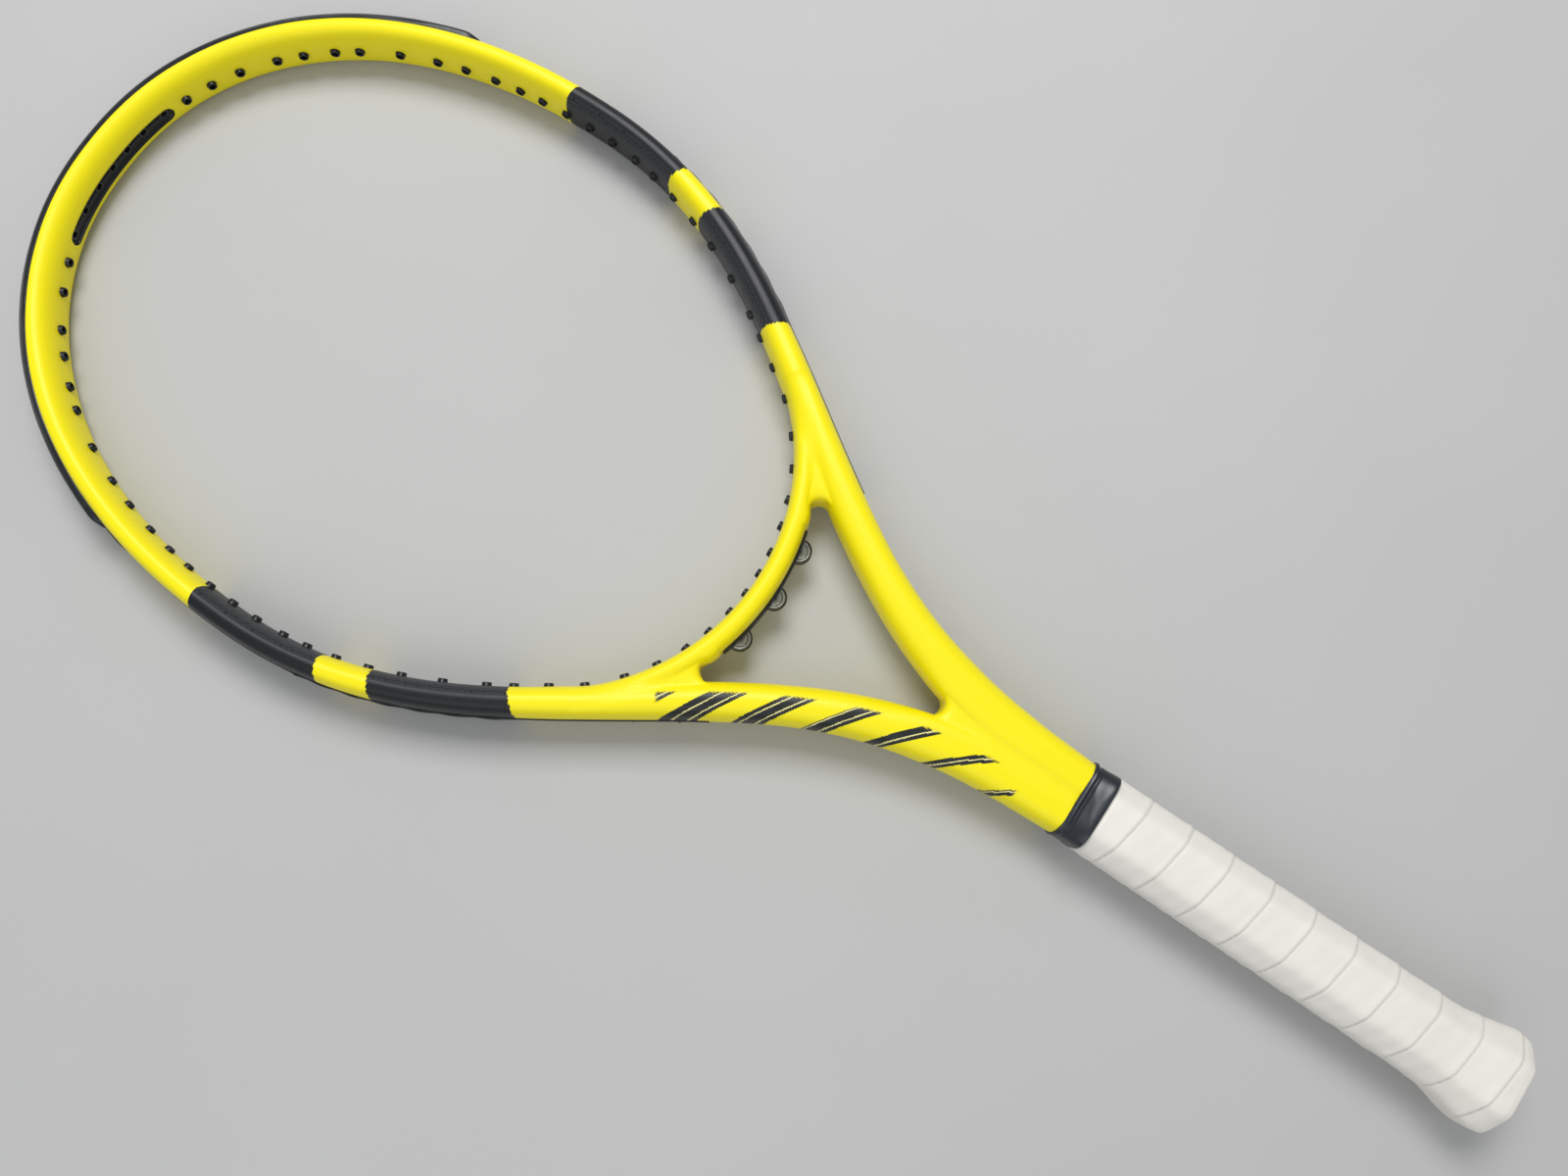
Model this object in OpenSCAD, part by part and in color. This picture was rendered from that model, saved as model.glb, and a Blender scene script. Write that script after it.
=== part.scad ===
// Tennis racket without strings: a graphite frame with its string guards and a wrapped handle.
// It lies flat: Y runs from the butt to the tip, X across the head and Z is its height.
// The origin is the centre of the butt's end face. All sizes are in millimetres.

/* [Frame] */
// Length from the butt's end face to the outside of the tip guard
racket_length = 685; // [680:1:690]
// Half the head's width, to the middle of the tube
head_half_width = 128.8; // [127:0.2:130]
// How square the head's shoulders are, 2 being an ellipse
head_squareness = 2.15; // [2:0.05:2.3]
// Wall of the moulded graphite tube
tube_wall = 1.5; // [1.3:0.1:1.7]
// Depth of the groove that the string guards lie in
groove_depth = 1.2; // [1:0.1:1.3]

/* [Throat] */
// Radius of the throat bridge, to the middle of its tube
bridge_radius = 100.1; // [99.6:0.1:100.4]
// Half the width of the bridge's tube, seen from above
bridge_half_width = 4.6; // [4.4:0.1:4.8]
// Half the height of the bridge's tube
bridge_half_height = 11; // [10:0.5:11.5]
// Travel of each sprung string loop towards the head
loop_travel = 1; // [0.5:0.1:1]

/* [String guards] */
// Outside radius of a grommet barrel
barrel_radius = 1.95; // [1.8:0.05:2.2]
// Bore of a grommet barrel
bore_radius = 1.3; // [1.1:0.05:1.4]
// How far a barrel stands out on the inside of the head
barrel_reach = 1.5; // [1:0.25:2]
// How far the tip guard stands proud of the tube at the tip
guard_proud = 2; // [1.6:0.1:2]

/* [Handle] */
// Width of the handle foam across its side flats
pallet_width = 30.4; // [30:0.1:31]
// Height of the handle foam across its broad flats
pallet_height = 27.4; // [27:0.1:28]
// Thickness of the wound grip
grip_thickness = 1.8; // [1.4:0.1:2]
// Height of the grip's top edge above the butt
grip_top = 186; // [185:0.5:186]
// How far the butt cap flares out on each side, across the racket
cap_flare = 4.2; // [3.6:0.1:4.6]

/* [Hidden] */
$fn = 48;

// ---- Colours ----
paint = "#f4e600";
nylon = "#1b1e22";
smoke = [0.55, 0.58, 0.58, 0.5];
foam = "#c9b98c";
plastic = "#e9e7df";
leather = "#eeebe2";
steel = "#b9bcc0";
rubber = "#20242c";

// ---- Frame tube: half width and half height against the distance from the butt ----
tip_half_width = 5.2;
tube_tip_y = racket_length - guard_proud - tip_half_width;
head_y = racket_length - 173.8;
head_rise = tube_tip_y - head_y;
shaft_y = 220;
shaft_x = 8.8;
leg_pull = 120.5;
twin_gap = 0.15;
tube_end_y = 4;
half_widths = [[0, 6.2], [160, 6.2], [197, 8], [220, 8.6], [238, 9.5], [260, 9.7], [288, 8.8],
    [310, 8.2], [333, 8], [358, 7.4], [398, 6.3], [449, 5.9], [474, 5.5], [511, 5.3], [685, 5.2]];
half_heights = [[0, 9.5], [160, 9.5], [190, 11.5], [238, 11.5], [330, 12.2], [450, 12.6],
    [540, 12.6], [640, 11.7], [685, 11.5]];
inner_squareness = [[0, 6], [233, 6], [273, 2.6], [685, 2.4]];
outer_squareness = 2.5;
groove_half = 4.6;
groove_floor_half = 4.4;
groove_fade = [[316, 0], [330, 1]];
hoop_steps = 26;
leg_steps = 22;
shaft_stations = [206, 195, 190, 184, 177, 169, 160, 110, 55, tube_end_y];
curve_points = 15;

// ---- Throat ----
bridge_y = 444.4;
bridge_span = 46.5;
bridge_squareness = 2.6;
strip_span = 16.4;
bridge_outer = bridge_radius + bridge_half_width;
bridge_bore_from = -14;
bridge_bore_to = 36;
throat_face_cut = 18;
pin_hole_span = [98, 106];
cut_height = 40;
slot_depth = 4;
groove_floor = bridge_outer - groove_depth;
throat_strip_proud = 1.4;
corner_radius = 4.2;
corner_center = [39.3, 343.3];
bridge_foot_outline = [[36.5, 346], [38, 349.5], [47, 353], [52, 355], [52, 348], [47, 343.5], [42.5, 340]];
apex_radius = 3.2;
apex_y = 261;
web_half = 0.6;
web_half_height = 10;
web_top = 185;
web_side = [[6.5, 260], [3, 238], [web_half, 223], [web_half, web_top - 1]];
handle_web_half_height = 8;
loop_radius = 5.2;
loop_angles = [-11.7, 0, 11.7];
loop_center_radius = 105.6;
loop_flat_radius = groove_floor + loop_travel + 0.3;
loop_half_thickness = 2.1;
loop_window = [2 * loop_radius + 0.6, 5, 2 * loop_half_thickness + 0.6];
loop_pin_radius = 1.2;
pin_clearance = 0.05;
fit_gap = 0.1;
flange_radius = 2.75;
flange_thickness = 1.2;
corner_flange_at = 8.6;
corner_boss_span = [6.9, 10.4];
corner_boss_radius = flange_radius + 1.3;

// ---- String pattern: 8 pairs of mains and 19 crosses ----
main_x = [4.8, 14.6, 25.9, 36.5, 47.8, 59, 70.5];
throat_strip_mains = 3;
corner_main = 3;
bore_half_span = 20;
side_mains = [4, 5, 6];
side_main_lengths = [0, 0, 0, 0, 26.2, 19.5, 15.3];
// Radius at which the barrels through the bridge begin, and their turn outward per mm of X
barrel_end_radius = 93.9;
bore_tilt = 0.25;
tip_mains = 6;
guard_end_y = 573;
guard_hole_y = [577.5, 589.2, 605, 620.9, 630.1, 641, 649.2];
strip_hole_y = [389.5, 401, 411, 426, 441.5, 454.5, 468, 481, 492.5, 504.5, 517, 529.5, 541, 552, 564];
strip_top_y = 574;
strip_bottom_y = 336.5;
strip_step = 4;
strip_proud = [[336, 0.1], [398, 0.1], [402, 0.25], [480, 0.25], [486, 0.1],
    [560, 0.1], [566, 0.7], [575, 0.7]];
scallop_pitch = 12;
scallop_height = 0.35;
scallop_range = [402, 480];

// ---- Recessed slot in the inner wall at the tip ----
slot_radius = 126.3;
slot_center_y = tube_tip_y - tip_half_width - slot_radius;
slot_from = -37.8;
slot_to = 28.2;
slot_half = 3.4;
slot_plate = 1.4;
slot_plate_from = slot_radius + 1.1;

// ---- Handle ----
corner_cut = 7.5;
edge_round = 1.6;
pallet_bottom = 3;
pallet_top = 182;
cap_wall = 1.6;
cap_floor = 2;
cap_top = 34;
grip_bottom = 1.5;
staple_wire = 0.7;
staple_width = 6;
staple_leg = 4;
collar_squareness = 4;
collar_clearance = 0.4;
// Rows of [distance above the grip, growth across, growth up] of the collar's outer face
collar_rows = [[10.8, 0.5, 0.5], [10, 0.8, 0.8], [7, 1, 1.3], [4, 1.1, 2.2], [1, 1.2, 3.2], [0.2, 1.2, 3.3]];

function mix(a, b, t) = a + (b - a) * t;
function half_width(y) = lookup(y, half_widths);
function half_height(y) = lookup(y, half_heights);
function groove_amount(y) = lookup(y, groove_fade);
function signed_power(v, p) = sign(v) * pow(abs(v), p);

// Middle of the tube on the right side, from the tip round the head and down to the butt.
function hoop_point(a) = [
    head_half_width * pow(max(cos(a), 0), 2 / head_squareness),
    head_y + head_rise * pow(max(sin(a), 0), 2 / head_squareness)];
function bezier(p, t) =
    pow(1 - t, 3) * p[0] + 3 * pow(1 - t, 2) * t * p[1] + 3 * (1 - t) * t * t * p[2] + pow(t, 3) * p[3];
leg_controls = [[head_half_width, head_y], [head_half_width, head_y - leg_pull],
    [shaft_x, shaft_y + leg_pull], [shaft_x, shaft_y]];
function clear_of_middle(p) = [max(p[0], half_width(p[1]) + twin_gap), p[1]];
right_path = concat(
    [for (i = [0:hoop_steps]) hoop_point(90 - 90 * i / hoop_steps)],
    [for (i = [1:leg_steps]) clear_of_middle(bezier(leg_controls, i / leg_steps))],
    [for (y = shaft_stations) [half_width(y) + twin_gap, y]]);
half_count = len(right_path);
full_path = concat(
    [for (i = [half_count - 1:-1:1]) [-right_path[i][0], right_path[i][1]]],
    right_path);
path_count = len(full_path);

// Outward direction at station i of a path that runs clockwise, left side to right side.
function outward(path, i) = let (
    a = path[max(i - 1, 0)],
    b = path[min(i + 1, len(path) - 1)],
    t = (b - a) / norm(b - a)) [-t[1], t[0]];

// Outside of the tube at height z above its middle.
function tube_face(y, z) =
    half_width(y) * pow(max(0, 1 - pow(abs(z) / half_height(y), outer_squareness)), 1 / outer_squareness);

// One section of the tube as [outward, height] points, with the guard groove on the outer side.
function groove_angle(y) = asin(pow(groove_half / half_height(y), outer_squareness / 2));
function curve_angles(y) = let (edge = groove_angle(y))
    [for (j = [0:curve_points]) mix(edge, 360 - edge, j / curve_points)];
function oval_point(a, b, inner, angle) = let (
    n = cos(angle) > 0 ? outer_squareness : inner)
    [a * signed_power(cos(angle), 2 / n), b * signed_power(sin(angle), 2 / n)];
function outer_section(y) = let (
    a = half_width(y),
    b = half_height(y),
    k = groove_amount(y),
    inner = lookup(y, inner_squareness),
    floor_u = mix(tube_face(y, groove_half / 2), tube_face(y, groove_half) - groove_depth, k),
    floor_z = mix(groove_half / 2, groove_floor_half, k))
    concat(
        [for (angle = curve_angles(y)) oval_point(a, b, inner, angle)],
        [[floor_u, -floor_z], [floor_u, floor_z]]);
function inner_section(y) = let (
    shift = groove_amount(y) * groove_depth / 2,
    a = half_width(y) - tube_wall - shift,
    b = half_height(y) - tube_wall,
    inner = lookup(y, inner_squareness),
    edge = groove_angle(y))
    [for (angle = concat(curve_angles(y), [-edge / 3, edge / 3]))
        oval_point(a, b, inner, angle) - [shift, 0]];

// A ring of space points from a section at one path station.
function ring(point, out, section) =
    [for (s = section) [point[0] + s[0] * out[0], point[1] + s[0] * out[1], s[1]]];
function tube_rings(path, from, to) =
    [for (i = [from:to]) ring(path[i], outward(path, i), outer_section(path[i][1]))];
function bore_rings(path, from, to) =
    [for (i = [from:to]) ring(path[i], outward(path, i), inner_section(path[i][1]))];

function flatten(lists) = [for (l = lists) each l];
function skin_faces(rings, n, base, flip) = [
    for (i = [0:rings - 2], j = [0:n - 1]) let (
        a = base + i * n + j,
        b = base + i * n + (j + 1) % n,
        c = b + n,
        d = a + n)
        each flip ? [[a, b, c], [a, c, d]] : [[a, c, b], [a, d, c]]];

// Solid through a list of rings. Paired ends suit a bent strip, whose ring goes out and comes back.
module sweep(rings, paired = false) {
    n = len(rings[0]);
    m = len(rings);
    last = (m - 1) * n;
    start_cap = paired
        ? [for (j = [0:n / 2 - 2]) each [[j, j + 1, n - 2 - j], [j, n - 2 - j, n - 1 - j]]]
        : [for (j = [1:n - 2]) [0, j, j + 1]];
    end_cap = [for (f = start_cap) [f[2] + last, f[1] + last, f[0] + last]];
    polyhedron(points = flatten(rings), faces = concat(skin_faces(m, n, 0, false), start_cap, end_cap));
}

// Hollow tube between two lists of rings, open at both ends.
module hollow_sweep(outer, inner) {
    n = len(outer[0]);
    m = len(outer);
    base = m * n;
    last = (m - 1) * n;
    start_cap = [for (j = [0:n - 1]) let (k = (j + 1) % n)
        each [[j, k, base + k], [j, base + k, base + j]]];
    end_cap = [for (f = start_cap) [f[2] + last, f[1] + last, f[0] + last]];
    polyhedron(
        points = concat(flatten(outer), flatten(inner)),
        faces = concat(skin_faces(m, n, 0, false), skin_faces(m, n, base, true), start_cap, end_cap));
}

// Point and outward direction on the right side at distance y from the butt.
function station_below(y) = [for (i = [1:half_count - 1]) if (right_path[i][1] <= y) i][0];
function side_place(y) = let (
    i = station_below(y),
    a = right_path[i - 1],
    b = right_path[i],
    t = (a[1] - y) / (a[1] - b[1]))
    [mix(a, b, t), let (m = mix(outward(right_path, i - 1), outward(right_path, i), t)) m / norm(m)];
function tip_place(x) = let (
    rise = pow(1 - pow(x / head_half_width, head_squareness), 1 / head_squareness),
    slope = [pow(x / head_half_width, head_squareness - 1) / head_half_width,
        pow(rise, head_squareness - 1) / head_rise])
    [[x, head_y + head_rise * rise], slope / norm(slope)];
// A main's place at the tip, set so that its barrel's inner end is on the string's line.
function main_place(x) = tip_place(x + (tip_half_width + barrel_reach) * tip_place(x)[1][0]);
// Inner end of a barrel through the bridge, and its direction as an angle away from -Y.
function bridge_place(x, tilt) =
    [[x, bridge_y - sqrt(pow(barrel_end_radius, 2) - x * x)], [sin(tilt), -cos(tilt)]];
function side_main_place(x) = bridge_place(x, asin(x / barrel_end_radius));

function mirror_place(place) = [[-place[0][0], place[0][1]], [-place[1][0], place[1][1]]];
function both_sides(places) = concat(places, [for (p = places) mirror_place(p)]);

bridge_places = [for (i = [0:corner_main]) bridge_place(main_x[i], bore_tilt * main_x[i])];
corner_places = both_sides([bridge_places[corner_main]]);
guard_places = concat(
    [for (i = [0:tip_mains - 1]) main_place(main_x[i])],
    [for (y = guard_hole_y) side_place(y)]);
strip_places = [for (y = strip_hole_y) side_place(y)];
side_main_places = [for (k = side_mains) side_main_place(main_x[k])];

// A round bar along an outward direction, from one distance to another.
module rod(place, from, to, r) {
    angle = atan2(place[1][1], place[1][0]);
    translate([place[0][0] + from * place[1][0], place[0][1] + from * place[1][1], 0])
        rotate([0, 0, angle])
            rotate([0, 90, 0])
                cylinder(h = to - from, r = r);
}

// A barrel stands out on the inside of the head, but ends just inside the wall in the tip's slot.
function in_slot(place) = place[0][1] > slot_center_y
    && place[0][0] > slot_from - 1 && place[0][0] < slot_to + 1;
function barrel_start(place) = (in_slot(place) ? 0.5 : -barrel_reach) - half_width(place[0][1]);

// Ring of the bridge's arc, swept about the head's lower centre by an angle each side of -Y.
module bridge_arc(from, to) {
    translate([0, bridge_y, 0])
        rotate([0, 0, from - 90])
            rotate_extrude(angle = to - from)
                children();
}

// ---- Frame ----
module frame_tube() {
    last = path_count - 1;
    color(paint)
        difference() {
            union() {
                hollow_sweep(tube_rings(full_path, 0, last), bore_rings(full_path, 0, last));
                twin_web();
            }
            for (place = both_sides(concat(guard_places, strip_places)))
                rod(place, -bore_half_span, bore_half_span, barrel_radius + fit_gap);
            for (place = both_sides(side_main_places))
                rod(place, bridge_bore_from, bridge_bore_to, barrel_radius + fit_gap);
            slot_cut(slot_radius - slot_depth, slot_radius + tube_wall + 1, slot_half);
        }
}

// The bond between the two shafts, with the rounded apex of the throat.
module twin_web() {
    difference() {
        translate([0, 0, -web_half_height])
            linear_extrude(height = 2 * web_half_height)
                polygon(concat(web_side,
                    [for (i = [len(web_side) - 1:-1:0]) [-web_side[i][0], web_side[i][1]]]));
        translate([0, apex_y, 0])
            cylinder(h = cut_height, r = apex_radius, center = true);
    }
    handle_web();
}

// Thin bond between the two shafts inside the handle.
module handle_web() {
    translate([-web_half, tube_end_y, -handle_web_half_height])
        cube([2 * web_half, web_top - tube_end_y, 2 * handle_web_half_height]);
}

// Capsule-shaped cut that follows the inner wall at the tip.
module slot_cut(r0, r1, half) {
    from = asin(slot_from / slot_radius);
    to = asin(slot_to / slot_radius);
    translate([0, slot_center_y, 0])
        rotate([0, 0, 90 - to])
            rotate_extrude(angle = to - from)
                translate([r0, -half])
                    square([r1 - r0, 2 * half]);
    for (a = [from, to])
        rod([[0, slot_center_y], [sin(a), cos(a)]], r0 + 0.01, r1 - 0.01, half - 0.03);
}

module bridge_oval(a, b, cut) {
    polygon([for (j = [0:23]) let (angle = j * 15)
        [bridge_radius + (a - cut) * signed_power(cos(angle), 2 / bridge_squareness),
            (b - cut) * signed_power(sin(angle), 2 / bridge_squareness)]]);
}

module hollow_bridge() {
    difference() {
        union() {
            bridge_arc(-bridge_span, bridge_span)
                bridge_oval(bridge_half_width, bridge_half_height, 0);
            for (side = [-1, 1])
                bridge_foot(side);
        }
        bridge_arc(-bridge_span + 8, bridge_span - 8)
            bridge_oval(bridge_half_width, bridge_half_height, tube_wall);
    }
}

module throat_bridge() {
    // Stations of the leg that runs past the ends of the bridge
    first = hoop_steps + 6;
    last = hoop_steps + leg_steps - 4;
    color(paint)
        difference() {
            union() {
                hollow_bridge();
                for (place = corner_places)
                    rod(place, corner_boss_span[0], corner_boss_span[1], corner_boss_radius);
            }
            bridge_arc(-strip_span - 0.2, strip_span + 0.2)
                translate([groove_floor, -groove_half])
                    square([groove_depth + 1, 2 * groove_half]);
            for (side = [0, 1])
                mirror([side, 0, 0])
                    sweep(tube_rings(right_path, first, last));
            for (place = both_sides(concat(bridge_places, side_main_places)))
                rod(place, bridge_bore_from, throat_face_cut, barrel_radius + fit_gap);
            for (place = corner_places)
                rod(place, corner_flange_at, throat_face_cut, flange_radius + fit_gap);
            for (a = loop_angles)
                rod([[0, bridge_y], [sin(a), -cos(a)]], pin_hole_span[0], pin_hole_span[1],
                    loop_pin_radius + pin_clearance);
        }
}

// Fills the upper corner of the throat opening, leaving a rounded corner.
module bridge_foot(side) {
    mirror([side < 0 ? 1 : 0, 0, 0])
        difference() {
            translate([0, 0, -bridge_half_height + 1])
                linear_extrude(height = 2 * bridge_half_height - 2)
                    polygon(bridge_foot_outline);
            translate([corner_center[0], corner_center[1], 0])
                cylinder(h = cut_height, r = corner_radius, center = true);
        }
}

// ---- String guards ----
// Rows of [distance from the butt, height of the guard's edge, its thickness at the edge,
// a little below the edge and on the shoulder, what its face adds to guard_proud]
guard_rows = [[573, 8.7, 0.8, 2.5, 2.7, 0.8], [583, 8.8, 1, 2.6, 2.8, 0.9], [598, 9.8, 0.8, 2.5, 2.8, 0.9],
    [612, 10.4, 0.6, 2.1, 2.5, 0.7], [637, 11, 0.4, 1.6, 2.1, 0.4], [650, 11.1, 0.3, 0.9, 1.6, 0.2],
    [664, 11.1, 0.3, 0.4, 1.2, 0], [685, 11.1, 0.3, 0.4, 1.2, 0]];
function guard_value(y, k) = lookup(y, [for (row = guard_rows) [row[0], row[k]]]);
function guard_heights(y) = let (edge = guard_value(y, 1))
    [edge, edge - 0.5, edge - 1.7, 6.5, 4.5, 4.3, 2.4, 1.8];
function guard_thickness(y) = let (face = guard_proud + guard_value(y, 5))
    [guard_value(y, 2), mix(guard_value(y, 2), guard_value(y, 3), 0.35), guard_value(y, 3),
        guard_value(y, 4), face, face, face, 0.8];
strip_heights = [4.3, 3.2, 1.8, 1.4];
strip_thickness = [0.05, 0.3, 0.3, -0.3];
// A section runs up the outside and comes back down against the tube.
function fold(values, s) = concat([for (v = values) -s * v], [for (i = [len(values) - 1:-1:0]) values[i]]);
function groove_bed(y) = tube_face(y, groove_half) - groove_depth + fit_gap;
function guard_section(y, heights, thickness, extra) = let (
    z = fold(heights, 1),
    t = fold(thickness, -1),
    m = len(z))
    concat(
        [for (j = [0:m - 1]) [tube_face(y, z[j]) + t[j] + extra, z[j]]],
        [for (j = [m - 1:-1:0])
            [abs(z[j]) < groove_floor_half ? groove_bed(y) : tube_face(y, z[j]) + fit_gap, z[j]]]);

module bumper_guard() {
    inside = [for (i = [0:path_count - 1]) if (full_path[i][1] > guard_end_y) i];
    rings = [for (i = inside) let (y = full_path[i][1])
        ring(full_path[i], outward(full_path, i),
            guard_section(y, guard_heights(y), guard_thickness(y), 0))];
    color(nylon)
        difference() {
            union() {
                sweep(rings, true);
                for (place = both_sides(guard_places))
                    rod(place, barrel_start(place), half_width(place[0][1]), barrel_radius);
            }
            for (place = both_sides(guard_places))
                rod(place, -bore_half_span, bore_half_span, bore_radius);
        }
}

module tip_slot_liner() {
    color(nylon)
        difference() {
            slot_cut(slot_plate_from, slot_plate_from + slot_plate, slot_half - fit_gap);
            for (place = both_sides(guard_places))
                rod(place, -bore_half_span, bore_half_span, barrel_radius + fit_gap);
        }
}

function strip_rise(y) = lookup(y, strip_proud) + ((y > scallop_range[0] && y < scallop_range[1])
    ? scallop_height * (1 - cos(360 * (y - scallop_range[0]) / scallop_pitch)) / 2 : 0);

module side_strip() {
    steps = round((strip_top_y - strip_bottom_y) / strip_step);
    rings = [for (i = [0:steps]) let (
        y = mix(strip_top_y, strip_bottom_y, i / steps),
        place = side_place(y))
        ring(place[0], place[1], guard_section(y, strip_heights, strip_thickness, strip_rise(y)))];
    color(nylon)
        difference() {
            union() {
                sweep(rings, true);
                for (place = strip_places)
                    rod(place, barrel_start(place), half_width(place[0][1]), barrel_radius);
                for (k = side_mains)
                    rod(side_main_place(main_x[k]), 0, side_main_lengths[k], barrel_radius);
            }
            for (place = strip_places)
                rod(place, -bore_half_span, bore_half_span, bore_radius);
            for (place = side_main_places)
                rod(place, bridge_bore_from, bridge_bore_to, bore_radius);
        }
}

module side_strip_right() {
    side_strip();
}

module side_strip_left() {
    mirror([1, 0, 0])
        side_strip();
}

module throat_strip() {
    places = both_sides([for (i = [0:throat_strip_mains - 1]) bridge_places[i]]);
    barrel_length = bridge_outer - barrel_end_radius + 0.5;
    color(nylon)
        difference() {
            union() {
                bridge_arc(-strip_span, strip_span)
                    polygon([[groove_floor, -groove_half + fit_gap], [bridge_outer, -groove_half + fit_gap],
                        [bridge_outer + throat_strip_proud, -groove_half + 1.4],
                        [bridge_outer + throat_strip_proud, groove_half - 1.4],
                        [bridge_outer, groove_half - fit_gap], [groove_floor, groove_half - fit_gap]]);
                for (place = places)
                    rod(place, 0, barrel_length, barrel_radius);
            }
            for (place = places)
                rod(place, bridge_bore_from, bridge_bore_to, bore_radius);
            for (a = loop_angles)
                rotate_about_bridge(a)
                    translate([0, 0.3 - loop_window[1] / 2, 0])
                        cube(loop_window, center = true);
        }
}

// Turns a child drawn at the strip's lowest point to an angle along the bridge.
module rotate_about_bridge(angle) {
    translate([0, bridge_y, 0])
        rotate([0, 0, angle])
            translate([0, -groove_floor, 0])
                children();
}

module corner_grommets() {
    color(nylon)
        for (place = corner_places)
            difference() {
                union() {
                    rod(place, 0, corner_flange_at + flange_thickness, barrel_radius);
                    rod(place, corner_flange_at + fit_gap, corner_flange_at + flange_thickness,
                        flange_radius);
                }
                rod(place, bridge_bore_from, bridge_bore_to, bore_radius);
            }
}

// A clear disc with a flat top and a groove round its rim, on a short guide pin.
module string_loop(angle) {
    translate([0, bridge_y, 0])
        rotate([0, 0, angle]) {
            difference() {
                translate([0, -loop_center_radius, 0])
                    cylinder(h = 2 * loop_half_thickness, r = loop_radius, center = true);
                translate([0, -loop_flat_radius + 10, 0])
                    cube([20, 20, 20], center = true);
                translate([0, -loop_center_radius, 0])
                    rotate_extrude()
                        translate([loop_radius + 0.1, 0])
                            circle(r = 0.9);
            }
            translate([0, -loop_flat_radius - 1, 0])
                rotate([-90, 0, 0])
                    cylinder(h = 3.6, r = loop_pin_radius);
        }
}

module string_loop_left() {
    color(smoke)
        string_loop(loop_angles[0]);
}

module string_loop_center() {
    color(smoke)
        string_loop(loop_angles[1]);
}

module string_loop_right() {
    color(smoke)
        string_loop(loop_angles[2]);
}

// ---- Handle ----
// Octagon with softened corners, its half width and half height grown by [across, up].
function octagon(grow) = let (
    w = pallet_width / 2 + grow[0],
    h = pallet_height / 2 + grow[1],
    c = corner_cut + grow[0] * 0.586,
    corners = [[w, h - c], [w - c, h], [c - w, h], [-w, h - c], [-w, c - h], [c - w, -h],
        [w - c, -h], [w, c - h]])
    [for (i = [0:7]) let (
        p = corners[i],
        a = corners[(i + 7) % 8],
        b = corners[(i + 1) % 8])
        each [p + (a - p) * edge_round / norm(a - p), p + (b - p) * edge_round / norm(b - p)]];
function handle_ring(y, grow) = [for (p = octagon(grow)) [p[0], y, p[1]]];

// Growth of the butt cap over the handle foam, [across, up], against the distance from the butt.
function flare(share_x, share_z) = [cap_flare * share_x, cap_flare * share_z];
cap_profile = [[grip_bottom, flare(0.46, 0.29)], [3, flare(0.74, 0.57)], [5.5, flare(0.91, 0.69)],
    [9, flare(1, 0.71)], [13, flare(0.91, 0.66)], [18, flare(0.69, 0.49)], [24, flare(0.37, 0.26)],
    [29, flare(0.11, 0.09)], [cap_top, [0, 0]]];
function grown(row, extra) = handle_ring(row[0], row[1] + [extra, extra]);

module twin_tubes() {
    first = hoop_steps + leg_steps;
    for (side = [0, 1])
        mirror([side, 0, 0])
            sweep(tube_rings(right_path, first, half_count - 1));
}

module handle_pallet() {
    sleeve = [-cap_wall - 0.05, -cap_wall - 0.05];
    color(foam)
        difference() {
            union() {
                sweep([handle_ring(pallet_top, [0, 0]), handle_ring(cap_top + 0.1, [0, 0])]);
                sweep([handle_ring(cap_top + 0.2, sleeve), handle_ring(pallet_bottom, sleeve)]);
            }
            twin_tubes();
            handle_web();
        }
}

module tube_end_plugs() {
    plug_length = 12;
    fit = 0.97;
    color(foam)
        for (side = [0, 1])
            mirror([side, 0, 0])
                translate([half_width(0) + twin_gap, tube_end_y, 0])
                    rotate([-90, 0, 0])
                        linear_extrude(height = plug_length)
                            polygon([for (p = inner_section(tube_end_y)) fit * p]);
}

module butt_cap() {
    end_face = [[0, flare(0.34, 0.17)]];
    rows = concat(end_face, cap_profile);
    pocket = [-cap_wall, -cap_wall];
    color(plastic)
        difference() {
            sweep([for (i = [len(rows) - 1:-1:0]) grown(rows[i], 0)]);
            sweep([handle_ring(cap_top + 1, pocket), handle_ring(cap_floor, pocket)]);
        }
}

// Wire staple with its crown on the surface at z = 0 and its legs down.
module staple() {
    for (x = [-staple_width / 2, staple_width / 2 - staple_wire])
        translate([x, 0, -staple_leg])
            cube([staple_wire, staple_wire, staple_leg - 0.1]);
    translate([-staple_width / 2, 0, -staple_wire])
        cube([staple_width, staple_wire, staple_wire]);
}

module butt_cap_staples() {
    color(steel)
        for (side = [0, 1], x = [-4.2, 4.2])
            mirror([0, 0, side])
                translate([x, 30, pallet_height / 2])
                    staple();
}

module grip_tape() {
    rows = concat(cap_profile, [[60, [0, 0]], [grip_top, [0, 0]]]);
    top = len(rows) - 1;
    color(leather)
        hollow_sweep(
            [for (i = [top:-1:0]) grown(rows[i], grip_thickness)],
            [for (i = [top:-1:0]) grown(rows[i], 0.02)]);
}

module grip_staple() {
    color(steel)
        mirror([0, 0, 1])
            translate([0, 11, pallet_height / 2 + flare(0, 0.68)[1] + grip_thickness / 2])
                staple();
}

// Ring of the collar round both shafts: half width and half height grown across and up.
function collar_ring(y, across, up) = [for (j = [0:31]) let (angle = j * 11.25)
    [(2 * half_width(y) + twin_gap + across) * signed_power(cos(angle), 2 / collar_squareness),
        y,
        (half_height(y) + up) * signed_power(sin(angle), 2 / collar_squareness)]];

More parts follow.
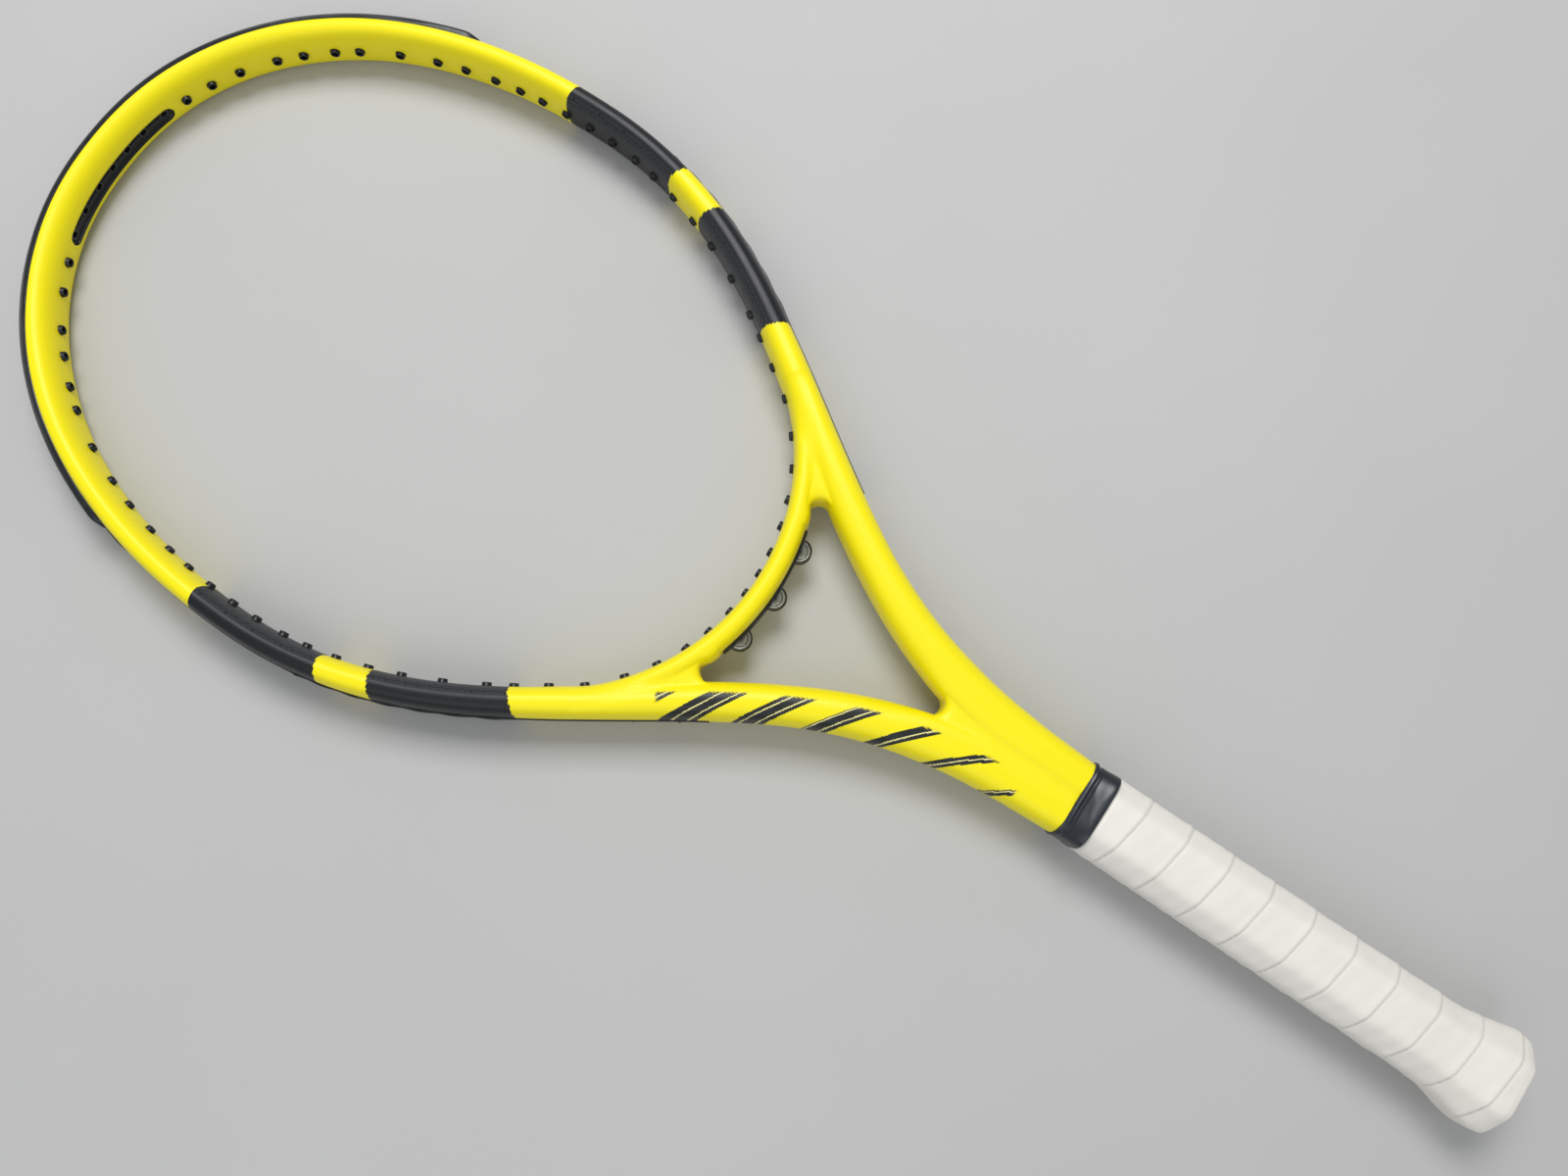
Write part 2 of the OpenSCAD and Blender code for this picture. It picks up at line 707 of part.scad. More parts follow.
module rubber_collar() {
    color(rubber)
        hollow_sweep(
            [for (row = collar_rows)
                collar_ring(grip_top + row[0], collar_clearance + row[1], collar_clearance + row[2])],
            [for (row = collar_rows) collar_ring(grip_top + row[0], collar_clearance, collar_clearance)]);
}

frame_tube();
throat_bridge();
bumper_guard();
tip_slot_liner();
side_strip_left();
side_strip_right();
throat_strip();
corner_grommets();
string_loop_left();
string_loop_center();
string_loop_right();
handle_pallet();
tube_end_plugs();
butt_cap();
butt_cap_staples();
grip_tape();
grip_staple();
rubber_collar();
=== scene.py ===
"""Tennis racket without strings, lying flat on a pale floor.

Lengths are written in millimetres and turned into metres when a mesh is made.
Y runs from the butt to the tip, X across the head and Z up. Y is 0 at the butt's end face.
"""
import math

import bmesh
import bpy
import numpy as np
from mathutils import Matrix, Vector


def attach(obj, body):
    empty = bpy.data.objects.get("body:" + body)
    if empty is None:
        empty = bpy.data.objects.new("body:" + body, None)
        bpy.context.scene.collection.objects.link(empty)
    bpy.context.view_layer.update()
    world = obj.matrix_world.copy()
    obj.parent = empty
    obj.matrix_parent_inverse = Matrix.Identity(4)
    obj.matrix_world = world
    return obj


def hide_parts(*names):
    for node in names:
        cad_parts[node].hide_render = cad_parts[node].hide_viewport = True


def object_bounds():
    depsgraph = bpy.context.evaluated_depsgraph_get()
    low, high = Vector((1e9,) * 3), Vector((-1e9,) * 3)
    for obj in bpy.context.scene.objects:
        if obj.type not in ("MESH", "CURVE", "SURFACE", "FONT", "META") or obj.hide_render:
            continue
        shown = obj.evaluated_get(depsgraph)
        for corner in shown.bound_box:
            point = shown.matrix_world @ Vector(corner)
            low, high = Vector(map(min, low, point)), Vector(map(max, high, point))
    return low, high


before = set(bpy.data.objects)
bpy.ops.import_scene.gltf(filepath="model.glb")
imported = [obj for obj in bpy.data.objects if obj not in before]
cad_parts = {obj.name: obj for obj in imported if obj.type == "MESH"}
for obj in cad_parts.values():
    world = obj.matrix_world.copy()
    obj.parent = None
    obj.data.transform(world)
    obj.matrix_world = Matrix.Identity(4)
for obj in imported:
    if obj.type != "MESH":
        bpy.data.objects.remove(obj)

MM = 0.001
CAD_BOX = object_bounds()
LENGTH = CAD_BOX[1].y / MM

# ---------------------------------------------------------------- sizes of the frame, as in the CAD
GUARD_PROUD = 2.0
TIP_HALF_WIDTH = 5.2
TUBE_TIP_Y = LENGTH - GUARD_PROUD - TIP_HALF_WIDTH
HEAD_Y = LENGTH - 173.8
HEAD_RISE = TUBE_TIP_Y - HEAD_Y
HEAD_HALF_WIDTH = 128.8
HEAD_SQUARENESS = 2.15
SHAFT = (8.8, 220.0)
LEG_PULL = 120.5
TWIN_GAP = 0.15
BUTT_END_Y = 4.0
OUTER_SQUARENESS = 2.5
# Rows of distance from the butt and the value there
HALF_WIDTHS = ((0, 6.2), (160, 6.2), (197, 8), (220, 8.6), (238, 9.5), (260, 9.7), (288, 8.8), (310, 8.2),
               (333, 8), (358, 7.4), (398, 6.3), (449, 5.9), (474, 5.5), (511, 5.3),
               (685, TIP_HALF_WIDTH))
HALF_HEIGHTS = ((0, 9.5), (160, 9.5), (190, 11.5), (238, 11.5), (330, 12.2), (450, 12.6), (540, 12.6),
                (640, 11.7), (685, 11.5))
INNER_SQUARENESS = ((0, 6), (233, 6), (273, 2.6), (685, 2.4))
# How much further the tube reaches on its inner side, towards the tip
INNER_EXTRA = ((0, 0), (612, 0), (641, 0.9), (668, 1.6), (685, 1.7))

BRIDGE_Y = 444.4
BRIDGE_RADIUS = 100.1
BRIDGE_HALF_WIDTH = 4.6
BRIDGE_HALF_HEIGHT = 11.0
BRIDGE_SQUARENESS = 2.6
BRIDGE_SPAN = math.radians(46.5)
BRIDGE_OUTER = BRIDGE_RADIUS + BRIDGE_HALF_WIDTH
STRIP_SPAN = math.radians(16.4)
# Rounded corners of the throat, and the round at its lower end as x, y and radius
CORNER_RADIUS = 4.2
CORNER_CENTER = (39.3, 343.3)
APEX = (0.0, 261.0, 3.2)

# ---------------------------------------------------------------- the string holes
BARREL_RADIUS = 1.95
BORE_RADIUS = 1.25
BARREL_REACH = 1.5
MAIN_X = (4.8, 14.6, 25.9, 36.5, 47.8, 59, 70.5)
TIP_MAINS = MAIN_X[:6]
BARREL_END_RADIUS = 93.9
# The outer mains at the bridge's ends, as x and the length of the barrel
SIDE_MAINS = ((47.8, 26.2), (59, 19.5), (70.5, 15.3))
# Degrees that a main's hole through the bridge leans, per millimetre from the middle
BORE_TILT = 0.25
GUARD_HOLE_Y = (577.5, 589.2, 605, 620.9, 630.1, 641, 649.2)
STRIP_HOLE_Y = (389.5, 401, 411, 426, 441.5, 454.5, 468, 481, 492.5, 504.5, 517, 529.5, 541, 552, 564)
GUARD_END_Y = 573.5
# The capsule-shaped slot: its ends, half its height, its middle's height and how far in its mouth is
SLOT_X = (-38.1, 27.2)
SLOT_HALF = 3.4
SLOT_Z = -1.2
SLOT_SHIFT = 1.65
SLOT_RADIUS = 126.3
SLOT_CENTER_Y = TUBE_TIP_Y - TIP_HALF_WIDTH - SLOT_RADIUS

# ---------------------------------------------------------------- the handle
GRIP_HALF = (17.0, 15.5)
GRIP_CUT = 8.5
GRIP_BOTTOM = 1.5
GRIP_TOP = 186.0
CAP_FLARE = 4.2
# Rows of distance from the butt, and the share of the flare across and up
FLARE_ROWS = ((0, 0.36, 0.17), (1.5, 0.54, 0.3), (3, 0.85, 0.58), (5.5, 1.01, 0.7), (9, 1.02, 0.72),
              (13, 0.84, 0.66), (18, 0.54, 0.46), (24, 0.24, 0.22), (29, 0.07, 0.07), (34, 0, 0), (190, 0, 0))
# Width of one turn of the strip, and where a seam crosses the top
SEAM_STEP = 18.7
SEAM_OFFSET = 43.1
COLLAR = (186.2, 197.0)

# Bands of dark paint, as distances from the butt, and how far their edges lean across the tube
BANDS = ((400.6, 450.1), (470.6, 527.4))
BAND_LEAN = 1.3


def table(rows, y, column=1):
    """The value at y of a table of rows, joined by straight lines."""
    rows = np.array(rows, float)
    return np.interp(y, rows[:, 0], rows[:, column])


def half_width(y):
    return table(HALF_WIDTHS, y)


def inner_width(y):
    return half_width(y) + table(INNER_EXTRA, y)


def half_height(y):
    return table(HALF_HEIGHTS, y)


def smoothstep(low, high, x):
    t = np.clip((np.asarray(x, float) - low) / (high - low), 0, 1)
    return t * t * (3 - 2 * t)


def signed_power(v, p):
    return np.sign(v) * np.abs(v) ** p


# ---------------------------------------------------------------- the middle line of the tube
def resample(points, step):
    length = np.r_[0, np.cumsum(np.linalg.norm(np.diff(points, axis=0), axis=1))]
    at = np.linspace(0, length[-1], int(length[-1] / step) + 1)
    return np.c_[np.interp(at, length, points[:, 0]), np.interp(at, length, points[:, 1])]


def right_side(step=1.0):
    """From the tip round the right of the head and down to the butt."""
    a = np.radians(np.linspace(90, 0, 400))
    p = 2 / HEAD_SQUARENESS
    across, up = (np.clip(wave(a), 0, 1) ** p for wave in (np.cos, np.sin))
    hoop = np.c_[HEAD_HALF_WIDTH * across, HEAD_Y + HEAD_RISE * up]
    t = np.linspace(0, 1, 400)[1:, None]
    corners = np.array([(HEAD_HALF_WIDTH, HEAD_Y), (HEAD_HALF_WIDTH, HEAD_Y - LEG_PULL),
                        (SHAFT[0], SHAFT[1] + LEG_PULL), SHAFT])
    weights = ((1 - t) ** 3, 3 * (1 - t) ** 2 * t, 3 * (1 - t) * t * t, t ** 3)
    leg = sum(w * c for w, c in zip(weights, corners))
    shaft_y = np.linspace(SHAFT[1], BUTT_END_Y, 200)[1:]
    shaft = np.c_[half_width(shaft_y) + TWIN_GAP, shaft_y]
    line = np.vstack([hoop, leg, shaft])
    line[:, 0] = np.maximum(line[:, 0], np.where(line[:, 1] < HEAD_Y, half_width(line[:, 1]) + TWIN_GAP, 0))
    return resample(line, step)


def outward_of(line):
    t = np.gradient(line, axis=0)
    t /= np.linalg.norm(t, axis=1)[:, None]
    return np.c_[-t[:, 1], t[:, 0]]


RIGHT = right_side()
FULL = np.vstack([RIGHT[:0:-1] * (-1, 1), RIGHT])
FULL_OUT = outward_of(FULL)
FULL_AT = (np.arange(len(FULL)) - (len(RIGHT) - 1)) * np.linalg.norm(RIGHT[1] - RIGHT[0])
RIGHT_OUT = FULL_OUT[len(RIGHT) - 1:]


def oval(angle, a, b, outer, inner):
    """Points [outward, up] of a rounded section, with its own squareness on each side."""
    n = np.where(np.cos(angle) > 0, outer, inner)
    return np.c_[a * signed_power(np.cos(angle), 2 / n), b * signed_power(np.sin(angle), 2 / n)]


def tube_face(y, z):
    """How far outside the middle line the tube's outer face is, at height z."""
    share = np.clip(1 - (np.abs(z) / half_height(y)) ** OUTER_SQUARENESS, 0, 1)
    return half_width(y) * share ** (1 / OUTER_SQUARENESS)


# ---------------------------------------------------------------- places of the string holes
def side_place(y):
    """Point and outward direction on the right side, below the tip, at distance y from the butt."""
    i = np.argmin(np.abs(RIGHT[:, 1] - y) + np.where(RIGHT[:, 0] < 40, 999, 0))
    return RIGHT[i], RIGHT_OUT[i]


def tip_place(x):
    rise = (1 - (x / HEAD_HALF_WIDTH) ** HEAD_SQUARENESS) ** (1 / HEAD_SQUARENESS)
    slope = np.array([(x / HEAD_HALF_WIDTH) ** (HEAD_SQUARENESS - 1) / HEAD_HALF_WIDTH,
                      rise ** (HEAD_SQUARENESS - 1) / HEAD_RISE])
    return np.array([x, HEAD_Y + HEAD_RISE * rise]), slope / np.linalg.norm(slope)


def main_place(x):
    """A main's place at the tip, set so that its barrel's inner end is on the string's line."""
    reach = TIP_HALF_WIDTH + SLOT_SHIFT + BARREL_REACH
    return tip_place(x + reach * tip_place(x)[1][0])


def bridge_place(x, tilt):
    """Inner end of a barrel through the bridge, and its direction as an angle away from -Y."""
    return (np.array([x, BRIDGE_Y - math.sqrt(BARREL_END_RADIUS ** 2 - x * x)]),
            np.array([math.sin(tilt), -math.cos(tilt)]))


def mirrored(place):
    return place[0] * (-1, 1), place[1] * (-1, 1)


def both(places):
    return list(places) + [mirrored(p) for p in places]


def in_slot(place):
    return place[0][1] > SLOT_CENTER_Y and SLOT_X[0] - 2 < place[0][0] < SLOT_X[1] + 2


# ---------------------------------------------------------------- meshes
def new_object(name, points, faces, smooth=True):
    """A mesh object from points in millimetres."""
    mesh = bpy.data.meshes.new(name)
    mesh.from_pydata((np.asarray(points, float) * MM).tolist(), [], [list(map(int, f)) for f in faces])
    mesh.validate()
    obj = bpy.data.objects.new(name, mesh)
    bpy.context.scene.collection.objects.link(obj)
    repair = bmesh.new()
    repair.from_mesh(mesh)
    bmesh.ops.recalc_face_normals(repair, faces=repair.faces)
    repair.to_mesh(mesh)
    repair.free()
    mesh.polygons.foreach_set("use_smooth", [smooth] * len(mesh.polygons))
    return obj


def grid_faces(rings, around, closed_rings=False):
    """Quads between rings of points, each ring closed, with flat caps unless the rings meet."""
    i = np.arange(rings if closed_rings else rings - 1)
    j = np.arange(around)
    a = (i[:, None] * around + j).ravel()
    b = (i[:, None] * around + (j + 1) % around).ravel()
    c = ((i[:, None] + 1) % rings * around + (j + 1) % around).ravel()
    d = ((i[:, None] + 1) % rings * around + j).ravel()
    faces = np.c_[a, b, c, d].tolist()
    if not closed_rings:
        faces.append(list(range(around))[::-1])
        faces.append(list(range((rings - 1) * around, rings * around)))
    return faces


def loft(name, rings, closed_rings=False):
    rings = np.asarray(rings, float)
    return new_object(name, rings.reshape(-1, 3), grid_faces(len(rings), rings.shape[1], closed_rings))


def ring_at(point, out, section):
    """A ring of space points from a section's [outward, up] points at a place."""
    return np.c_[point[0] + section[:, 0] * out[0], point[1] + section[:, 0] * out[1], section[:, 1]]


def sweep_line(name, line, out, section_of):
    return loft(name, [ring_at(p, o, section_of(p[1])) for p, o in zip(line, out)])


def join(name, objects):
    """One object from the meshes of several, which are removed."""
    whole = bmesh.new()
    for obj in objects:
        whole.from_mesh(obj.data)
    mesh = bpy.data.meshes.new(name)
    whole.to_mesh(mesh)
    whole.free()
    for obj in objects:
        bpy.data.objects.remove(obj)
    joined = bpy.data.objects.new(name, mesh)
    bpy.context.scene.collection.objects.link(joined)
    mesh.polygons.foreach_set("use_smooth", [True] * len(mesh.polygons))
    return joined


def applied(obj):
    """Turns an object's modifiers into its mesh."""
    graph = bpy.context.evaluated_depsgraph_get()
    mesh = bpy.data.meshes.new_from_object(obj.evaluated_get(graph))
    obj.modifiers.clear()
    obj.data = mesh
    return obj


def cut(obj, cutter):
    change = obj.modifiers.new("cut", "BOOLEAN")
    change.operation = "DIFFERENCE"
    change.solver = "MANIFOLD"
    change.object = cutter
    applied(obj)
    bpy.data.objects.remove(cutter)
    return obj


def coordinates(mesh):
    co = np.empty(len(mesh.vertices) * 3, np.float32)
    mesh.vertices.foreach_get("co", co)
    return co.reshape(-1, 3).astype(float) / MM


def set_coordinates(mesh, points):
    mesh.vertices.foreach_set("co", (points * MM).astype(np.float32).ravel())
    mesh.update()


def put(mesh, name, values):
    """Stores a number per point, for a material to read."""
    mesh.attributes.new(name, "FLOAT", "POINT").data.foreach_set("value", np.asarray(values, np.float32))


def lathe_ring(name, place, profile, around=24):
    """A closed turned ring: profile points are [distance outward, radius] round a place's direction."""
    point, out = place
    axis = np.array([out[0], out[1], 0])
    side = np.array([-out[1], out[0], 0])
    origin = np.array([point[0], point[1], 0])
    angles = np.linspace(0, 2 * math.pi, around, endpoint=False)
    rings = []
    for a in angles:
        spoke = side * math.cos(a) + np.array([0, 0, 1]) * math.sin(a)
        rings.append([origin + axis * d + r * spoke for d, r in profile])
    rings = np.array(rings)
    return new_object(name, rings.reshape(-1, 3), grid_faces(around, len(profile), closed_rings=True))


def rod(name, place, start, end, radius, around=20):
    """A plain round cutter along a place's direction."""
    point, out = place
    angle = np.linspace(0, 2 * math.pi, around, endpoint=False)
    section = np.c_[np.cos(angle), np.sin(angle)] * radius
    side = np.array([-out[1], out[0]])
    return loft(name, [ring_at(point + out * d, side, section) for d in (start, end)])


# ---------------------------------------------------------------- materials
class Shader:
    """A node material, built by short calls."""

    def __init__(self, name, **settings):
        self.material = bpy.data.materials.new(name)
        self.material.use_nodes = True
        self.tree = self.material.node_tree
        self.surface = self.tree.nodes["Principled BSDF"]
        for socket, value in settings.items():
            self.surface.inputs[socket.replace("_", " ")].default_value = value

    def node(self, kind, out=0, **inputs):
        node = self.tree.nodes.new("ShaderNode" + kind)
        for key, value in inputs.items():
            if key.startswith("set_"):
                setattr(node, key[4:], value)
                continue
            socket = node.inputs[int(key[1:])] if key[0] == "i" and key[1:].isdigit() else node.inputs[key]
            self.feed(socket, value)
        return node.outputs[out]

    def feed(self, socket, value):
        if isinstance(value, bpy.types.NodeSocket):
            self.tree.links.new(value, socket)
        else:
            socket.default_value = value

    def math(self, operation, a, b=0.0, c=0.0):
        return self.node("Math", set_operation=operation, i0=a, i1=b, i2=c)

    def point(self, name):
        return self.node("Attribute", out=2, set_attribute_name=name)

    def place(self):
        return self.node("TexCoord", out=3)

    def noise(self, scale, detail=3.0, where=None):
        return self.node("TexNoise", Scale=scale, Detail=detail, Vector=where or self.place())

    def blend(self, share, a, b):
        node = self.tree.nodes.new("ShaderNodeMix")
        node.data_type = "RGBA"
        self.feed(node.inputs["Factor"], share)
        self.feed(node.inputs["A"], a)
        self.feed(node.inputs["B"], b)
        return node.outputs["Result"]

    def step(self, value, start, stop, **more):
        """A smooth step, from 0 where value is start to 1 where it is stop."""
        return self.node("MapRange", set_interpolation_type="SMOOTHSTEP", i0=value, i1=start, i2=stop, **more)

    def between(self, value, low, high, soft=0.0002):
        """1 where value lies from low to high, with a soft edge."""
        up, down = (self.step(value, edge - soft, edge + soft) for edge in (low, high))
        return self.math("SUBTRACT", up, down)

    def spread(self, value, low, high):
        """Value from 0 to 1 stretched to a range."""
        return self.node("MapRange", i0=value, i3=low, i4=high)

    def bump(self, height, strength, distance):
        normal = self.node("Bump", Strength=strength, Distance=distance, Height=height)
        self.tree.links.new(normal, self.surface.inputs["Normal"])

    def to(self, socket, value):
        self.feed(self.surface.inputs[socket], value)
        return self


YELLOW = (0.91, 0.79, 0.0, 1)
DARK = (0.006, 0.007, 0.009, 1)


def paint_material():
    """Satin yellow paint with dark bands, a honeycomb print on them and slanted stripes on one shaft."""
    s = Shader("satin_paint", Roughness=0.4, Specular_IOR_Level=0.35)
    band_y = s.point("band_y")
    bands = s.math("MAXIMUM", *[s.between(band_y, low * MM, high * MM) for low, high in BANDS])
    girth = s.math("ABSOLUTE", s.point("girth"))
    along = s.point("along")
    where = s.node("CombineXYZ", X=along, Y=girth)
    cells = s.node("TexBrick", out=1, Vector=where, Scale=1.0, i5=0.00028, i6=0.6, i8=0.0026, i9=0.00165)
    rows = s.math("MULTIPLY", s.between(girth, 0.0028, 0.0092, 0.0005), s.math("SUBTRACT", 1.0, cells))
    rows = s.math("MULTIPLY", rows, s.point("inner"))
    dark = s.blend(s.math("MULTIPLY", rows, 0.8), DARK, (0.032, 0.037, 0.046, 1))
    dust = s.noise(900.0, 2.0)
    yellow = s.blend(s.spread(dust, 0.0, 0.25), YELLOW, (0.88, 0.74, 0.0, 1))
    shaft = s.point("stripe_area")
    lean = s.math("MULTIPLY_ADD", s.point("across"), -1.55, s.point("path_y"))
    phase = s.math("FRACT", s.math("DIVIDE", lean, 0.0235))
    width = s.node("MapRange", i0=lean, i1=0.21, i2=0.36, i3=0.16, i4=0.62)
    ends = s.step(s.math("SUBTRACT", phase, width), -0.008, 0.008, i3=1.0, i4=0.0)
    stripes = s.math("MULTIPLY", ends, shaft)
    pale = s.math("MAXIMUM", s.between(phase, 0.105, 0.14, 0.004), s.between(phase, 0.345, 0.38, 0.004))
    stripe_color = s.blend(pale, (0.012, 0.014, 0.014, 1), (0.80, 0.74, 0.30, 1))
    color = s.blend(stripes, yellow, stripe_color)
    color = s.blend(bands, color, dark)
    s.to("Base Color", color)
    rough = s.spread(s.noise(160.0, 4.0), 0.34, 0.46)
    s.to("Roughness", s.math("MULTIPLY_ADD", rows, 0.12, rough))
    grain = s.math("MULTIPLY_ADD", rows, -0.6, s.noise(2600.0, 2.0))
    s.bump(grain, 0.25, 0.00004)
    return s.material


def nylon_material(name, color, rough):
    """Moulded nylon with a fine grain and paler patches at random."""
    s = Shader(name, Specular_IOR_Level=0.35)
    pale_patches = s.step(s.noise(120.0, 6.0), 0.45, 0.8)
    paler = tuple(min(1.0, 1.9 * c + 0.006) for c in color[:3]) + (1,)
    s.to("Base Color", s.blend(pale_patches, color, paler))
    s.to("Roughness", s.spread(s.noise(300.0, 3.0), rough - 0.07, rough + 0.1))
    s.bump(s.noise(1800.0, 3.0), 0.3, 0.00005)
    return s.material


def loop_material():
    """Smoke-coloured clear elastomer, darker at its middle, with painted shade in its rim's groove and its
    face's step.
    """
    s = Shader("smoke_elastomer", Transmission_Weight=0.88, IOR=1.35)
    ring = s.point("ring")
    # Painted shade: a dark band in the string groove round the rim and a dark ring at the step of the
    # recessed face; the dot at the middle is a dark mark
    dark = s.math("MAXIMUM", s.between(ring, 0.00445, 0.01, 0.0002), s.between(ring, 0.0031, 0.0036, 0.0002))
    dark = s.math("MAXIMUM", dark, s.between(ring, -1.0, 0.0009, 0.0002))
    smoke = s.blend(s.noise(200.0, 2.0), (0.55, 0.57, 0.54, 1), (0.62, 0.64, 0.61, 1))
    s.to("Base Color", s.blend(s.math("MULTIPLY", dark, 0.9), smoke, (0.012, 0.013, 0.014, 1)))
    s.to("Roughness", s.spread(s.noise(300.0, 3.0), 0.05, 0.12))
    return s.material


def grip_material():
    """Smooth synthetic leather with fine pores, creases and a darker tone along the seams."""
    s = Shader("grip_leather", Sheen_Weight=0.12)
    seam = s.point("seam")
    soft = s.noise(40.0, 5.0)
    clean = s.blend(s.spread(soft, 0.0, 0.7), (0.80, 0.775, 0.71, 1), (0.72, 0.69, 0.62, 1))
    s.to("Base Color", s.blend(s.math("MULTIPLY", seam, 0.3), clean, (0.36, 0.33, 0.28, 1)))
    s.to("Roughness", s.spread(s.noise(220.0, 4.0), 0.38, 0.55))
    pores = s.node("TexVoronoi", set_feature="DISTANCE_TO_EDGE", Scale=1300.0, Vector=s.place())
    grain = s.math("MULTIPLY_ADD", s.noise(150.0, 5.0), 1.4, s.math("MULTIPLY", pores, 0.9))
    s.bump(grain, 0.35, 0.00012)
    return s.material


def collar_material():
    """Soft glossy rubber, stretched, a little dusty in random patches."""
    s = Shader("collar_rubber")
    s.to("Base Color", s.blend(s.noise(90.0, 4.0), (0.008, 0.011, 0.016, 1), (0.016, 0.021, 0.029, 1)))
    s.to("Roughness", s.spread(s.noise(90.0, 4.0), 0.26, 0.4))
    s.bump(s.noise(260.0, 3.0), 0.25, 0.0001)
    return s.material


def foam_material():
    s = Shader("moulded_foam")
    s.to("Base Color", s.blend(s.noise(240.0, 4.0), (0.52, 0.43, 0.24, 1), (0.42, 0.34, 0.18, 1)))
    s.to("Roughness", s.spread(s.noise(300.0, 3.0), 0.7, 0.9))
    s.bump(s.node("TexVoronoi", Scale=900.0, Vector=s.place()), 0.5, 0.0002)
    return s.material


def steel_material():
    s = Shader("staple_steel", Metallic=1.0)
    s.to("Base Color", s.blend(s.noise(700.0, 3.0), (0.58, 0.58, 0.60, 1), (0.40, 0.40, 0.43, 1)))
    s.to("Roughness", s.spread(s.noise(900.0, 3.0), 0.25, 0.45))
    return s.material


def cap_material():
    s = Shader("cap_plastic")
    s.to("Base Color", s.blend(s.noise(60.0, 4.0), (0.78, 0.76, 0.69, 1), (0.70, 0.67, 0.60, 1)))
    s.to("Roughness", s.spread(s.noise(260.0, 3.0), 0.36, 0.52))
    s.bump(s.noise(1500.0, 3.0), 0.3, 0.00008)
    return s.material


def floor_material():
    s = Shader("pale_floor")
    s.to("Base Color", s.blend(s.noise(6.0, 6.0), (0.50, 0.50, 0.49, 1), (0.46, 0.46, 0.45, 1)))
    s.to("Roughness", s.spread(s.noise(30.0, 4.0), 0.7, 0.85))
    return s.material


def dress(obj, material):
    obj.data.materials.clear()
    obj.data.materials.append(material)
    return obj


# ---------------------------------------------------------------- the frame's shell
# Size of the cells that melt the tubes together, then the smoothing passes over all and at the joins
VOXEL = 0.8
RELAX = 6
FILLET_PASSES = 45


def tube_section(y, count=56):
    angle = np.linspace(0, 2 * math.pi, count, endpoint=False)
    a = np.where(np.cos(angle) > 0, half_width(y), inner_width(y))
    return oval(angle, a, half_height(y), OUTER_SQUARENESS, table(INNER_SQUARENESS, y))


def bridge_ring(a, radius, section):
    """A section set on the bridge's arc, at an angle away from -Y."""
    out = (math.sin(a), -math.cos(a))
    return ring_at((radius * out[0], BRIDGE_Y + radius * out[1]), out, section)


def bridge_tube():
    angle = np.linspace(0, 2 * math.pi, 48, endpoint=False)
    section = oval(angle, BRIDGE_HALF_WIDTH, BRIDGE_HALF_HEIGHT, BRIDGE_SQUARENESS, BRIDGE_SQUARENESS)
    arc = np.linspace(-BRIDGE_SPAN, BRIDGE_SPAN, 90)
    return loft("bridge_tube", [bridge_ring(a, BRIDGE_RADIUS, section) for a in arc])


def prism(name, outline, half):
    outline = np.array(outline, float)
    rings = [np.c_[outline, np.full(len(outline), z)] for z in (-half, half)]
    return loft(name, rings)


def disc_outline(center, radius, count=40):
    a = np.linspace(0, 2 * math.pi, count, endpoint=False)
    return np.c_[center[0] + radius * np.cos(a), center[1] + radius * np.sin(a)]


def corner_fill(side):
    """The web between the bridge's end and the leg, with the throat's rounded corner cut out of it."""
    outline = ((36.5, 346), (38, 349.5), (47, 353), (52, 355), (52, 348), (47, 343.5), (42.5, 340))
    fill = prism("corner_fill", [(side * x, y) for x, y in outline], BRIDGE_HALF_HEIGHT - 1.5)
    center = (side * CORNER_CENTER[0], CORNER_CENTER[1])
    return cut(fill, prism("corner_cutter", disc_outline(center, CORNER_RADIUS), 30))


def apex_fill():
    """The web between the two legs below the throat."""
    half = [(6.5, 260), (5.2, 250), (3, 238), (1.5, 223), (1.5, 160)]
    fill = prism("apex_fill", half + [(-x, y) for x, y in half[::-1]], half_height(238) - 1.6)
    return cut(fill, prism("apex_cutter", disc_outline(APEX[:2], APEX[2]), 30))


def nearest_station(xy):
    """Index of the nearest point of the full middle line, for each point."""
    found = np.empty(len(xy), int)
    coarse = np.arange(0, len(FULL), 12)
    for start in range(0, len(xy), 20000):
        part = xy[start:start + 20000]
        near = coarse[np.argmin(((part[:, None] - FULL[coarse]) ** 2).sum(2), axis=1)]
        window = np.clip(near[:, None] + np.arange(-14, 15), 0, len(FULL) - 1)
        pick = np.argmin(((part[:, None] - FULL[window]) ** 2).sum(2), axis=1)
        found[start:start + 20000] = window[np.arange(len(part)), pick]
    return found


def oval_level(u, z, a, b, n):
    """1 on a section's outline, less inside it and more outside it."""
    return (np.abs(u / a) ** n + np.abs(z / b) ** n) ** (1 / n)


def tube_fit(points):
    """Each point's station, outward offset and level on the tube."""
    station = nearest_station(points[:, :2])
    offset = ((points[:, :2] - FULL[station]) * FULL_OUT[station]).sum(1)
    y = FULL[station, 1]
    n = np.where(offset > 0, OUTER_SQUARENESS, table(INNER_SQUARENESS, y))
    a = np.where(offset > 0, half_width(y), inner_width(y))
    return station, offset, oval_level(offset, points[:, 2], a, half_height(y), n)


def neighbours(mesh):
    ends = np.empty(len(mesh.edges) * 2, np.int32)
    mesh.edges.foreach_get("vertices", ends)
    ends = ends.reshape(-1, 2)
    return np.r_[ends[:, 0], ends[:, 1]], np.r_[ends[:, 1], ends[:, 0]]


def relax(points, links, amount=0.5):
    here, there = links
    count = np.bincount(here, minlength=len(points))
    mean = np.stack([np.bincount(here, points[there, k], len(points)) for k in range(3)], 1) / count[:, None]
    return points + amount * (mean - points)


